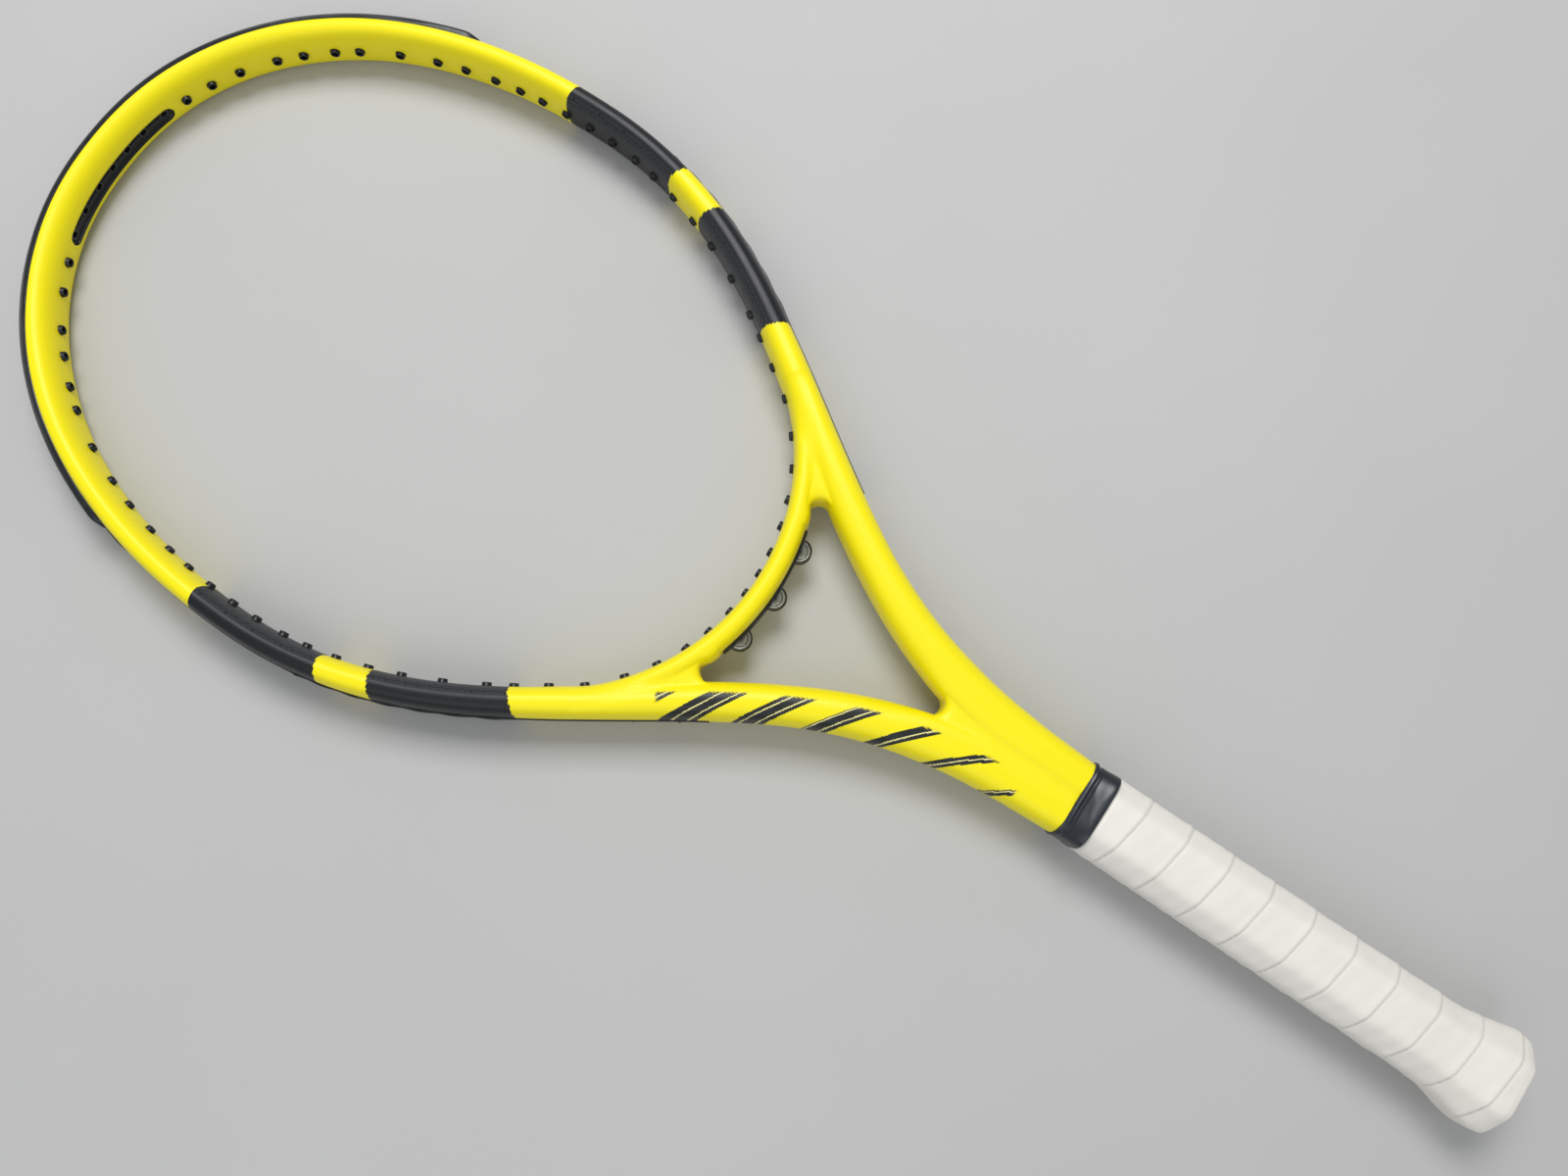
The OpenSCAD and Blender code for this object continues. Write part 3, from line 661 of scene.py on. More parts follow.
def frame_shell():
    """Both tubes and their webs melted into one skin, true to the sections away from the joins."""
    tube = sweep_line("tube", FULL[::2], FULL_OUT[::2], tube_section)
    shell = join("frame_shell", [tube, bridge_tube(), corner_fill(1), corner_fill(-1), apex_fill()])
    melt = shell.modifiers.new("melt", "REMESH")
    melt.mode = "VOXEL"
    melt.voxel_size = VOXEL * MM
    applied(shell)
    mesh = shell.data
    links = neighbours(mesh)
    points = coordinates(mesh)
    for _ in range(RELAX):
        points = relax(points, links)
    points, free = settle(points)
    fixed = points.copy()
    for _ in range(FILLET_PASSES):
        points = fixed + free[:, None] * (relax(points, links) - fixed)
    set_coordinates(mesh, swell_strip_ends(points))
    return shell


def swell_strip_ends(points):
    """The bridge's outer wall bulges over the throat strip and steps out past its ends."""
    arc = points[:, :2] - (0, BRIDGE_Y)
    radius = np.linalg.norm(arc, axis=1)
    angle = np.degrees(np.abs(np.arctan2(arc[:, 0], -arc[:, 1])))
    amount = 0.45 + 0.55 * smoothstep(16.7, 17.5, angle)
    amount = amount * (1 - smoothstep(19.0, 22.5, angle))
    amount = amount * smoothstep(0.5, 3.5, radius - BRIDGE_RADIUS) * (radius < BRIDGE_OUTER + 2)
    moved = points.copy()
    moved[:, :2] += arc * (amount / radius)[:, None]
    return moved


def settle(points):
    """Moves points onto the tube's or bridge's true surface, and says how free each one is near a join."""
    station, offset, level = tube_fit(points)
    y = FULL[station, 1]
    size = np.hypot(offset, points[:, 2])
    from_tube = (level - 1) / level * size
    arc = points[:, :2] - (0, BRIDGE_Y)
    radius = np.linalg.norm(arc, axis=1)
    across = radius - BRIDGE_RADIUS
    level_b = oval_level(across, points[:, 2], BRIDGE_HALF_WIDTH, BRIDGE_HALF_HEIGHT, BRIDGE_SQUARENESS)
    from_bridge = (level_b - 1) / level_b * np.hypot(across, points[:, 2])
    from_bridge = np.where(np.abs(np.arctan2(arc[:, 0], -arc[:, 1])) > BRIDGE_SPAN + 0.1, 99, from_bridge)
    on_bridge = np.abs(from_bridge) < np.abs(from_tube)
    other = np.where(on_bridge, from_tube, from_bridge)
    own = np.where(on_bridge, from_bridge, from_tube)
    twin = np.abs(points[:, 0]) + 99 * smoothstep(262, 275, y)
    held = smoothstep(2.5, 9, other) * (1 - smoothstep(0.5, 1.2, np.abs(own))) * smoothstep(0.8, 5.5, twin)
    out = FULL_OUT[station]
    onto_tube = np.c_[FULL[station] + out * (offset / level)[:, None]
                      + (points[:, :2] - FULL[station] - out * offset[:, None]), points[:, 2] / level]
    scale = (BRIDGE_RADIUS + across / level_b) / radius
    onto_bridge = np.c_[arc * scale[:, None] + (0, BRIDGE_Y), points[:, 2] / level_b]
    target = np.where(on_bridge[:, None], onto_bridge, onto_tube)
    return points + held[:, None] * (target - points), 1 - held


def girth_of(offset, z, y):
    """Rough distance over the section from its top or bottom crest, in millimetres."""
    angle = np.arctan2(np.abs(offset) / half_width(y), np.abs(z) / half_height(y))
    return np.sign(offset) * angle * (half_width(y) * 0.62 + half_height(y) * 0.38)


def mark_frame(shell):
    """Stores where each point is on the tube, for the paint."""
    points = coordinates(shell.data)
    station, offset, _ = tube_fit(points)
    y = FULL[station, 1]
    in_throat = np.linalg.norm(points[:, :2] - (0, BRIDGE_Y), axis=1) - BRIDGE_RADIUS
    on_bridge = (np.abs(in_throat) < BRIDGE_HALF_WIDTH + 1) & (np.abs(offset) > half_width(y) + 1)
    lean = BAND_LEAN * offset / half_width(y)
    put(shell.data, "band_y", np.where(on_bridge, 300, y + lean) * MM)
    put(shell.data, "path_y", y * MM)
    put(shell.data, "across", offset * MM)
    put(shell.data, "along", np.abs(FULL_AT[station]) * MM)
    put(shell.data, "girth", girth_of(offset, points[:, 2], y) * MM)
    put(shell.data, "inner", (offset < 0).astype(float))
    printed_face = np.where(points[:, 0] * points[:, 2] < 0, 1.0, 0.0)
    area = smoothstep(-3.6, -3.2, offset) * smoothstep(218, 219, y) * (1 - smoothstep(353, 354, y))
    put(shell.data, "stripe_area", np.where(on_bridge, 0, area * printed_face))


def slot_sweep(name, half_height, reach, count, section_of):
    """Capsule that follows the inner wall at the tip, closed at a share of the way into its round ends."""
    a0, a1 = (math.asin(x / SLOT_RADIUS) for x in SLOT_X)
    end = half_height / SLOT_RADIUS
    radius = SLOT_RADIUS - SLOT_SHIFT
    rings = []
    for a in np.linspace(a0 - end * reach, a1 + end * reach, count):
        past = max(a0 - a, a - a1, 0) / end
        section = np.array(section_of(half_height * math.sqrt(1 - past * past)))
        out = (math.sin(a), math.cos(a))
        center = (radius * out[0], SLOT_CENTER_Y + radius * out[1])
        rings.append(ring_at(center, out, section + (0, SLOT_Z)))
    return loft(name, rings)


def slot_cutter():
    return slot_sweep("slot_cutter", SLOT_HALF, 0.999, 90,
                      lambda half: [(-4, -half), (1.4, -half), (1.4, half), (-4, half)])


# ---------------------------------------------------------------- grommet barrels
def barrel_profile(start, end, tip=0.35):
    """A thin tube with a rounded inner end and a small collar where it leaves the wall."""
    r, b = BARREL_RADIUS, BORE_RADIUS
    wall = start + BARREL_REACH
    return [(start + 0.9, b), (start + 0.3, b + 0.03), (start + 0.08, b + 0.12), (start, b + 0.3),
            (start, r - tip), (start + 0.06, r - 0.18), (start + 0.18, r - 0.06), (start + tip, r),
            (wall - 0.4, r), (wall - 0.1, r + 0.2), (wall + 1.5, r + 0.2), (end, r), (end, b)]


def barrel_start(place):
    return (0.7 if in_slot(place) else -BARREL_REACH) - inner_width(place[0][1])


def barrels(places, spans):
    made = []
    for place, (start, end) in zip(places, spans):
        made.append(lathe_ring("barrel", place, barrel_profile(start, end)))
    return made


GUARD_PLACES = both([main_place(x) for x in TIP_MAINS] + [side_place(y) for y in GUARD_HOLE_Y])
STRIP_PLACES = [side_place(y) for y in STRIP_HOLE_Y]
BRIDGE_PLACES = [bridge_place(x, math.radians(BORE_TILT * x)) for x in MAIN_X[:4]]
CORNER_PLACES = both(BRIDGE_PLACES[3:])
THROAT_PLACES = both(BRIDGE_PLACES[:3])
SIDE_MAIN_PLACES = [bridge_place(x, math.asin(x / BARREL_END_RADIUS)) for x, _ in SIDE_MAINS]


def hole_cutters(radius, reach=14):
    cutters = [rod("hole", p, -reach, reach, radius) for p in GUARD_PLACES + both(STRIP_PLACES)]
    cutters += [rod("hole", p, -9, 14, radius) for p in CORNER_PLACES + THROAT_PLACES]
    for place, (_, end) in zip(SIDE_MAIN_PLACES, SIDE_MAINS):
        cutters += [rod("hole", p, -9, end + 8, radius) for p in (place, mirrored(place))]
    return join("hole_cutters", cutters)


# ---------------------------------------------------------------- string guards
SINK = 1.0
# Rows of distance from the butt, how far out the guard's edge lies on the tube's upper side, its
# thickness at heights 9.8, 8.2 and 6.4, and what its face adds to its depth at the tip
GUARD_ROWS = ((573, 4.5, 2.2, 2.4, 2.9, 1.1), (586, 4.1, 1.6, 2.4, 2.9, 1.1), (599, 3.6, 0.9, 2.3, 2.8, 1.0),
              (622, 2.7, 1.2, 2.0, 2.5, 0.8), (641, 1.6, 0.9, 1.5, 2.0, 0.6), (657, 0.5, 0.45, 0.9, 1.6, 0.3),
              (668, 0.06, 0.25, 0.5, 1.3, 0.1), (685, 0.05, 0.25, 0.4, 1.2, 0))


def guard_section(y, taper):
    """Closed section of the tip guard: its outer face over the tube, then back inside the tube's face."""
    edge, high, middle, shoulder, more = (float(table(GUARD_ROWS, y, k)) for k in range(1, 6))
    face = GUARD_PROUD + more
    a, b, n = float(half_width(y)), float(half_height(y)), OUTER_SQUARENESS
    start = math.acos((edge / a) ** (n / 2)) * (0.75 + 0.25 * taper)
    angle = np.r_[start, start - 0.02, start - 0.045, np.linspace(start - 0.07, 0.02, 34)]
    u, z = a * np.cos(angle) ** (2 / n), b * np.sin(angle) ** (2 / n)
    normal = np.c_[np.cos(angle) ** (2 - 2 / n) / a, np.sin(angle) ** (2 - 2 / n) / b]
    normal /= np.linalg.norm(normal, axis=1)[:, None]
    knots = np.array([(11.6, 0.3), (10.6, 0.5 * high + 0.1), (9.8, high), (8.2, middle), (6.4, shoulder),
                      (4.9, face - 0.06), (4.2, face), (3.4, face - 0.05), (2.9, face - 0.3), (2.5, 1.1),
                      (2.2, 0.75), (1.4, 0.6), (0.3, 0.6)])
    thickness = np.interp(-z, -knots[:, 0], knots[:, 1]) * (0.35 + 0.65 * taper)
    lip = np.array([0.02, 0.16, 0.22]) + np.array([0, 0.2, 0.6]) * thickness[:3]
    thickness[:3] = np.minimum(thickness[:3], lip)
    top = np.c_[u, z] + normal * thickness[:, None]
    under = np.c_[u - SINK, z * 0.94]
    flip = np.array([1, -1])
    return np.vstack([top * flip, top[::-1], under, under[::-1] * flip])


def bumper_guard():
    inside = np.where(FULL[:, 1] > GUARD_END_Y)[0]
    line, out = FULL[inside], FULL_OUT[inside]
    rings = []
    for k, (p, o) in enumerate(zip(line, out)):
        taper = float(smoothstep(-2, 6, min(k, len(line) - 1 - k)))
        rings.append(ring_at(p, o, guard_section(p[1], taper)))
    guard = loft("bumper_guard_skin", rings)
    cut(guard, join("guard_holes", [rod("hole", p, 0, 14, BORE_RADIUS + 0.15) for p in GUARD_PLACES]))
    spans = [(barrel_start(p), float(half_width(p[0][1])) + 0.35) for p in GUARD_PLACES]
    return join("bumper_guard_detail", [guard] + barrels(GUARD_PLACES, spans))


# A side strip's ends, its section as heights and thickness, rows of distance and how proud it stands,
# and its scallops as start, end, pitch and height
STRIP_Y = (336.5, 574)
STRIP_HEIGHTS = np.array([4.3, 4.2, 3.9, 3.3, 2.6, 2.1, 1.8, 1.4, 0.5])
STRIP_THICKNESS = np.array([0.02, 0.2, 0.3, 0.33, 0.3, 0.1, -0.2, -0.3, -0.3])
STRIP_PROUD = ((336, 0.1), (398, 0.1), (402, 0.25), (480, 0.25), (486, 0.1), (560, 0.1), (566, 0.7),
               (575, 0.7))
SCALLOPS = (402.0, 480.0, 12.0, 0.35)


def strip_rise(y):
    low, high, pitch, height = SCALLOPS
    wave = height * (1 - math.cos(2 * math.pi * (y - low) / pitch)) / 2 if low < y < high else 0
    return float(table(STRIP_PROUD, y)) + wave


def strip_section(y):
    """Closed section of a side strip: its outer face over the tube, then back inside the tube's face."""
    z = np.r_[-STRIP_HEIGHTS, STRIP_HEIGHTS[::-1]]
    t = np.r_[STRIP_THICKNESS, STRIP_THICKNESS[::-1]] + strip_rise(y)
    face = tube_face(y, z)
    return np.vstack([np.c_[face + t, z], np.c_[face - SINK, z * 0.94][::-1]])


def side_strip(side):
    inside = np.where((RIGHT[:, 1] > STRIP_Y[0]) & (RIGHT[:, 1] < STRIP_Y[1]))[0]
    line, out = RIGHT[inside] * (side, 1), RIGHT_OUT[inside] * (side, 1)
    strip = sweep_line("strip_skin", line, out, strip_section)
    places = STRIP_PLACES if side > 0 else [mirrored(p) for p in STRIP_PLACES]
    mains = SIDE_MAIN_PLACES if side > 0 else [mirrored(p) for p in SIDE_MAIN_PLACES]
    cutters = [rod("hole", p, 0, 14, BORE_RADIUS + 0.15) for p in places]
    for place, (_, end) in zip(mains, SIDE_MAINS):
        cutters.append(rod("hole", place, end - 5, end + 6, BORE_RADIUS + 0.15))
    cut(strip, join("strip_holes", cutters))
    spans = [(barrel_start(p), float(half_width(p[0][1])) + 0.1) for p in places]
    spans += [(0, end) for _, end in SIDE_MAINS]
    name = "side_strip_right_detail" if side > 0 else "side_strip_left_detail"
    return join(name, [strip] + barrels(places + mains, spans))


# The loops' angles on the bridge's arc. Their middle, flat side and window are distances from its center
LOOP_ANGLES = {"left": -11.7, "center": 0.0, "right": 11.7}
LOOP_CENTER = 105.6
LOOP_RADIUS = 5.2
LOOP_HALF = 2.1
LOOP_FLAT = 104.8
LOOP_WINDOW = (103.2, 110)
LOOP_PLAY = 0.3


def throat_strip():
    """Strip along the underside of the bridge, opened for the three loops."""
    section = np.array([(-1.2, -4.5), (0.25, -4.5), (0.9, -4.1), (1.35, -3.3), (1.4, -2.2), (1.2, 0),
                        (1.4, 2.2), (1.35, 3.3), (0.9, 4.1), (0.25, 4.5), (-1.2, 4.5)])
    rings = []
    for a in np.linspace(-STRIP_SPAN, STRIP_SPAN, 80):
        past = float(smoothstep(STRIP_SPAN - 0.02, STRIP_SPAN, abs(a)))
        rings.append(bridge_ring(a, BRIDGE_OUTER, section * (1, 1 - 0.18 * past)))
    strip = loft("throat_strip_skin", rings)
    windows = []
    near, far = LOOP_WINDOW
    side = LOOP_RADIUS + LOOP_PLAY
    for angle in LOOP_ANGLES.values():
        a = math.radians(angle)
        turn = np.array([(math.sin(a), -math.cos(a)), (math.cos(a), math.sin(a))])
        outline = np.array([(near, -side), (far, -side), (far, side), (near, side)]) @ turn
        windows.append(prism("window", outline + (0, BRIDGE_Y), LOOP_HALF + LOOP_PLAY))
    cut(strip, join("windows", windows))
    cut(strip, join("throat_holes", [rod("hole", p, 8, 16, BORE_RADIUS + 0.1) for p in THROAT_PLACES]))
    spans = [(0, 10)] * len(THROAT_PLACES)
    return join("throat_strip_detail", [strip] + barrels(THROAT_PLACES, spans))


# Where a corner grommet's flange starts and ends along its barrel
CORNER_FLANGE = (8.6, 9.8)


def corner_grommets():
    """Two single grommets whose flanges are sunk into the throat's corners."""
    start, end = CORNER_FLANGE
    profile = [(start + 0.1, BORE_RADIUS), (start + 0.1, 2.75), (end - 0.3, 2.75), (end, 2.5),
               (end, BORE_RADIUS + 0.2), (end - 0.3, BORE_RADIUS)]
    flanges = [lathe_ring("flange", p, profile) for p in CORNER_PLACES]
    return join("corner_grommets_detail", flanges + barrels(CORNER_PLACES, [(0, start + 0.5)] * 2))


def liner_section(half):
    """A tray's section, with a lip level with the wall of the tube."""
    lip = min(0.45, half * 0.3)
    return [(2.5, -half), (-0.02, -half), (-0.02, lip * 0.5 - half), (0.3, lip - half),
            (1.1, lip * 1.2 - half), (1.1, half - lip * 1.2), (0.3, half - lip),
            (-0.02, half - lip * 0.5), (-0.02, half), (2.5, half)]


def tip_slot_liner():
    """Tray in the slot, with a raised ring round each string hole."""
    plate = slot_sweep("slot_plate", SLOT_HALF - 0.1, 0.995, 110, liner_section)
    places = [p for p in GUARD_PLACES if in_slot(p)]
    cut(plate, join("slot_holes", [rod("hole", p, -9, 0, BORE_RADIUS + 0.3) for p in places]))
    rims = []
    for p in places:
        base = -float(inner_width(p[0][1]))
        profile = [(base + 2, BORE_RADIUS), (base + 0.5, BORE_RADIUS), (base + 0.3, 1.6),
                   (base + 0.3, 2.1), (base + 0.6, 2.5), (base + 2, 2.5)]
        rims.append(lathe_ring("rim", p, profile))
    return join("tip_slot_liner_detail", [plate] + rims)


# ---------------------------------------------------------------- sprung string loops
def string_loop(name):
    """A clear disc with a flat side, a groove for the string round its rim and a guide pin."""
    angle = math.radians(LOOP_ANGLES[name])
    half = [(1.6, LOOP_HALF), (1.9, 1.75), (3.3, 1.75), (3.7, LOOP_HALF), (4.85, LOOP_HALF),
            (LOOP_RADIUS, 1.8), (LOOP_RADIUS, 1.1), (4.75, 0.75), (4.45, 0.35), (4.4, 0.0)]
    profile = half + [(r, -z) for r, z in half[-2::-1]]
    around, rows = 48, len(profile)
    points = [(r * math.cos(a), -LOOP_CENTER + r * math.sin(a), z)
              for a in np.linspace(0, 2 * math.pi, around, endpoint=False) for r, z in profile]
    points += [(0, -LOOP_CENTER, LOOP_HALF), (0, -LOOP_CENTER, -LOOP_HALF)]
    faces = []
    for i in range(around):
        here, there = i * rows, (i + 1) % around * rows
        faces += [(here + j, there + j, there + j + 1, here + j + 1) for j in range(rows - 1)]
        faces += [(len(points) - 2, there, here), (len(points) - 1, here + rows - 1, there + rows - 1)]
    disc = new_object("disc", points, faces)
    top = 12 - LOOP_FLAT
    cut(disc, prism("flat", [(-9, -LOOP_FLAT), (9, -LOOP_FLAT), (9, top), (-9, top)], 6))
    foot = LOOP_FLAT + 0.4
    pin = lathe_ring("pin", (np.array([0.0, 0.0]), np.array([0.0, -1.0])),
                     [(102.2, 0.01), (102.2, 1.0), (102.4, 1.2), (foot, 1.2), (foot, 0.01)])
    loop = join("string_loop_%s_detail" % name, [disc, pin])
    spots = coordinates(loop.data)
    put(loop.data, "ring", np.hypot(spots[:, 0], spots[:, 1] + LOOP_CENTER) * MM)
    loop.data.transform(Matrix.Translation((0, BRIDGE_Y * MM, 0)) @ Matrix.Rotation(angle, 4, "Z"))
    return loop


# ---------------------------------------------------------------- the handle
def octagon_radius(angle, half, cut_size, crisp=22):
    """Distance to a softly rounded octagon's side, seen from its middle."""
    w, h = half
    bevel = (w + h - cut_size) / math.sqrt(2)
    total = 0
    for k, d in enumerate((w, bevel, h, bevel, w, bevel, h, bevel)):
        total = total + (np.clip(np.cos(angle - k * math.pi / 4), 0.02, 1) / d) ** crisp
    return total ** (-1 / crisp)


def flare(y):
    return CAP_FLARE * table(FLARE_ROWS, y, 1), CAP_FLARE * table(FLARE_ROWS, y, 2)


def bumps(*terms):
    """A sum of smooth waves, used as repeatable unevenness."""
    return sum(size * np.sin(value) for size, value in terms)


def grip():
    """The wound strip: spiral seams with a raised edge, pressed soft round the octagon."""
    around = 180
    angle = np.linspace(0, 2 * math.pi, around, endpoint=False)
    turned = (angle - math.pi / 2) / (2 * math.pi)
    ys = np.r_[np.arange(GRIP_BOTTOM, GRIP_TOP, 0.55), GRIP_TOP]
    rings, seams = [], []
    for y in ys:
        grow = flare(y)
        size = (GRIP_HALF[0] + grow[0], GRIP_HALF[1] + grow[1])
        crisp = 16 + 6 * (1 - smoothstep(8, 25, y))
        base = octagon_radius(angle, size, GRIP_CUT + 0.5 * grow[0], crisp)
        first_wrap = 4.5 * (1 - float(smoothstep(8, 32, y)))
        phase = (y - first_wrap - SEAM_OFFSET) / SEAM_STEP - turned
        phase = phase - np.floor(phase)
        distance = np.minimum(phase, 1 - phase) * SEAM_STEP
        seam = np.exp(-(distance / 0.42) ** 2)
        shoulder = np.exp(-((phase * SEAM_STEP - 1.5) / 1.1) ** 2)
        step = 0.22 * (1 - phase) ** 2
        uneven = bumps((0.07, y * 0.31 + 3 * angle), (0.05, y * 0.83 - 5 * angle + 1),
                       (0.04, 7 * angle + y * 0.17))
        top_edge = 0.9 * smoothstep(GRIP_TOP - 0.9, GRIP_TOP, y) ** 2
        bottom_edge = 0.7 * (1 - smoothstep(GRIP_BOTTOM, GRIP_BOTTOM + 1.0, y)) ** 2
        radius = base - 0.3 - 0.42 * seam + 0.12 * shoulder + step + uneven - top_edge - bottom_edge
        rings.append(np.c_[radius * np.cos(angle), np.full(around, y), radius * np.sin(angle)])
        seams.append(seam)
    last = rings[-1].copy()
    last[:, [0, 2]] *= 0.86
    first = rings[0].copy()
    first[:, [0, 2]] *= 0.9
    rings = [first] + rings + [last]
    seams = [seams[0]] + seams + [seams[-1]]
    obj = loft("grip_wrap", rings)
    put(obj.data, "seam", np.array(seams).ravel())
    return obj


def butt_end():
    """The butt cap: the grip hides all but its end face, which has a shallow dish and a raised plate."""
    around = 160
    angle = np.linspace(0, 2 * math.pi, around, endpoint=False)
    rows = [(34, -1.9), (20, -1.9), (6, -1.9), (2.4, -1.95), (1.6, -1.6), (0.9, -1.75), (0.35, -2.2),
            (0.0, -2.9)]
    rings = []
    for y, grow in rows:
        w, h = (half + part + grow for half, part in zip(GRIP_HALF, flare(y)))
        r = octagon_radius(angle, (w, h), GRIP_CUT + 0.5 * grow)
        rings.append(np.c_[r * np.cos(angle), np.full(around, y), r * np.sin(angle)])
    rim = rings[-1]
    for share, depth in ((0.90, 0.0), (0.86, 0.12), (0.83, 0.65), (0.80, 0.85), (0.60, 0.85), (0.585, 1.15),
                         (0.56, 1.15), (0.545, 0.8), (0.25, 0.7), (0.03, 0.68)):
        ring = rim * (share, 1, share)
        ring[:, 1] = depth
        rings.append(ring)
    return loft("butt_cap_detail", rings)


def collar():
    """Stretched rubber collar: as wide as the grip, then tight on the frame with a rolled lip."""
    around = 240
    angle = np.linspace(0, 2 * math.pi, around, endpoint=False)
    ys = np.linspace(COLLAR[0], COLLAR[1], 90)
    at_grip = oval(angle, GRIP_HALF[0] - 0.45, GRIP_HALF[1] - 0.45, 4.2, 4.2)
    rings = []
    for y in ys:
        t = (y - COLLAR[0]) / (COLLAR[1] - COLLAR[0])
        on_frame = oval(angle, 2 * half_width(y) + TWIN_GAP + 0.45, half_height(y) + 0.45, 4, 4)
        section = at_grip + float(smoothstep(0.05, 0.92, t)) * (on_frame - at_grip)
        out = section / np.linalg.norm(section, axis=1)[:, None]
        x = section[:, 0] / GRIP_HALF[0]
        fold = 0.74 + 0.035 * np.sin(2 * angle + 0.6) + 0.02 * np.sin(5 * angle)
        grow = -0.42 * np.exp(-((t - fold) / 0.06) ** 2) + 0.3 * np.exp(-((t - fold - 0.12) / 0.055) ** 2)
        for turn, size in ((0.62, 0.09), (-0.5, 0.06)):
            grow = grow + size * np.exp(-((t - 0.42 - turn * x) / 0.13) ** 2)
        grow = grow + 0.08 * np.exp(-((t - 0.95) / 0.035) ** 2) - 0.6 * smoothstep(0.965, 1.0, t) ** 2
        grow = grow - 0.5 * (1 - smoothstep(0, 0.05, t)) ** 2
        full = section + out * grow[:, None]
        rings.append(np.c_[full[:, 0], np.full(around, y), full[:, 1]])
    inner = []
    for y in COLLAR[::-1]:
        section = oval(angle, 2 * half_width(y) + TWIN_GAP - 0.4, half_height(y) - 0.4, 4, 4)
        inner.append(np.c_[section[:, 0], np.full(around, y), section[:, 1]])
    return loft("rubber_collar_detail", rings + inner, closed_rings=True)


# ---------------------------------------------------------------- making the pieces
PAINT = paint_material()
NYLON = nylon_material("guard_nylon", (0.008, 0.009, 0.011, 1), 0.3)
# The slot's tray gets a darker copy of the guard's black nylon: painted shade of the recess it sits in
LINER_SHADED = nylon_material("liner_nylon_shaded", (0.004, 0.006, 0.006, 1), 0.3)
SMOKE = loop_material()


def place_piece(obj, body, slot, material, *nodes):
    dress(obj, material)
    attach(obj, body)
    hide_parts(*nodes)
    return obj


shell = frame_shell()
cut(shell, slot_cutter())
cut(shell, hole_cutters(BARREL_RADIUS - 0.25))
cut(shell, join("flange_seats", [rod("seat", p, CORNER_FLANGE[0], 14, 2.85) for p in CORNER_PLACES]))
mark_frame(shell)
shell.data.polygons.foreach_set("use_smooth", [True] * len(shell.data.polygons))

place_piece(shell, "racket", "frame_paint", PAINT, "frame_tube", "throat_bridge")
place_piece(bumper_guard(), "racket", "guard_nylon", NYLON, "bumper_guard")
place_piece(side_strip(-1), "racket", "guard_nylon", NYLON, "side_strip_left")
place_piece(side_strip(1), "racket", "guard_nylon", NYLON, "side_strip_right")
place_piece(throat_strip(), "racket", "guard_nylon", NYLON, "throat_strip")
place_piece(corner_grommets(), "racket", "guard_nylon", NYLON, "corner_grommets")
place_piece(tip_slot_liner(), "racket", "guard_nylon", LINER_SHADED, "tip_slot_liner")
for loop_name in LOOP_ANGLES:
    place_piece(string_loop(loop_name), "loop_" + loop_name, "clear_loop", SMOKE, "string_loop_" + loop_name)
place_piece(grip(), "racket", "grip_leather", grip_material(), "grip_tape")
place_piece(butt_end(), "racket", "cap_plastic", cap_material(), "butt_cap")
place_piece(collar(), "racket", "collar_rubber", collar_material(), "rubber_collar")

FOAM, STEEL = foam_material(), steel_material()
for node, material in (("handle_pallet", FOAM), ("tube_end_plugs", FOAM), ("butt_cap_staples", STEEL),
                       ("grip_staple", STEEL)):
    dress(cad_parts[node], material)

# ---------------------------------------------------------------- floor, light and camera
# Two points the floor goes through, as distance from the butt and height
BUTT_REST = (9.0, -18.15)
HEAD_REST = (560.0, -12.75)
FLOOR_HALF = 4000


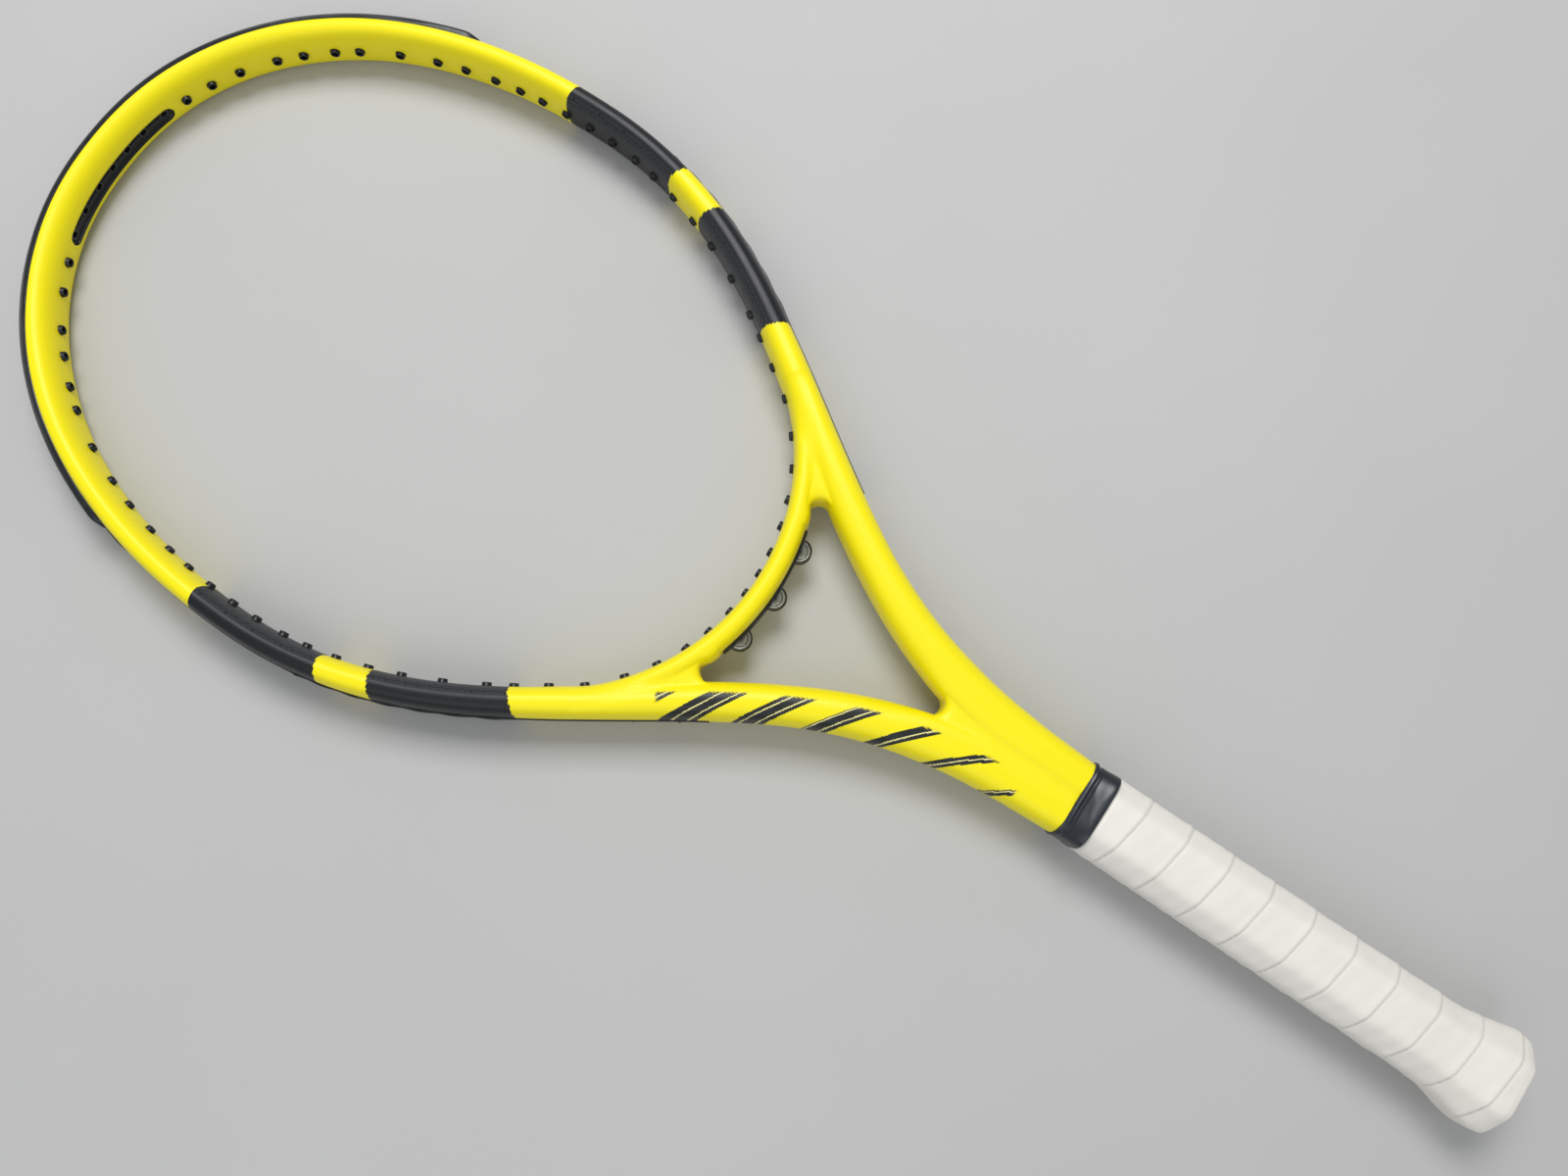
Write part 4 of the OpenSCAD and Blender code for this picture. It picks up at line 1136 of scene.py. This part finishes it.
def floor():
    """The racket rests on its butt's flare and on its head, so the floor leans a little in its frame."""
    slope = (HEAD_REST[1] - BUTT_REST[1]) / (HEAD_REST[0] - BUTT_REST[0])
    corners = [(FLOOR_HALF * x, FLOOR_HALF * y, BUTT_REST[1] + slope * (FLOOR_HALF * y - BUTT_REST[0]))
               for x, y in ((-1, -1), (1, -1), (1, 1), (-1, 1))]
    obj = new_object("floor", corners, [(0, 1, 2, 3)], smooth=False)
    dress(obj, floor_material())


def area_light(name, at, aim, size, power, color=(1, 1, 1)):
    data = bpy.data.lights.new(name, "AREA")
    data.shape = "RECTANGLE"
    data.size, data.size_y = size
    data.energy = power
    data.color = color
    obj = bpy.data.objects.new(name, data)
    bpy.context.scene.collection.objects.link(obj)
    obj.location = Vector(at)
    obj.rotation_euler = (Vector(aim) - Vector(at)).to_track_quat("-Z", "Y").to_euler()


# The camera's place in metres, and which ways are right and down in its picture
CAMERA_AT = (-0.05353, 0.30837, 0.47284)
CAMERA_RIGHT = (0.55917, -0.82885, 0.0184)
CAMERA_DOWN = (-0.81973, -0.55606, -0.13724)
FOCAL = 27.1
SENSOR = 36.0


def camera():
    data = bpy.data.cameras.new("camera")
    data.lens = FOCAL
    data.sensor_width = SENSOR
    data.clip_start = 0.01
    obj = bpy.data.objects.new("camera", data)
    bpy.context.scene.collection.objects.link(obj)
    right = Vector(CAMERA_RIGHT).normalized()
    down = Vector(CAMERA_DOWN)
    down = (down - right * down.dot(right)).normalized()
    back = right.cross(-down)
    obj.matrix_world = Matrix((
        (right.x, -down.x, back.x, CAMERA_AT[0]),
        (right.y, -down.y, back.y, CAMERA_AT[1]),
        (right.z, -down.z, back.z, CAMERA_AT[2]),
        (0, 0, 0, 1)))
    bpy.context.scene.camera = obj


def world_light():
    world = bpy.data.worlds.new("studio")
    world.use_nodes = True
    world.node_tree.nodes["Background"].inputs["Color"].default_value = (0.95, 0.97, 1.0, 1)
    world.node_tree.nodes["Background"].inputs["Strength"].default_value = 0.44
    bpy.context.scene.world = world


floor()
world_light()
area_light("key", (0.6, 0.8, 1.25), (0.0, 0.35, 0), (0.7, 0.6), 15.5)
area_light("fill", (-0.9, 0.1, 1.0), (0.0, 0.35, 0), (1.2, 1.2), 4.5, (0.96, 0.98, 1.0))
camera()
bpy.context.scene.view_settings.view_transform = "Standard"
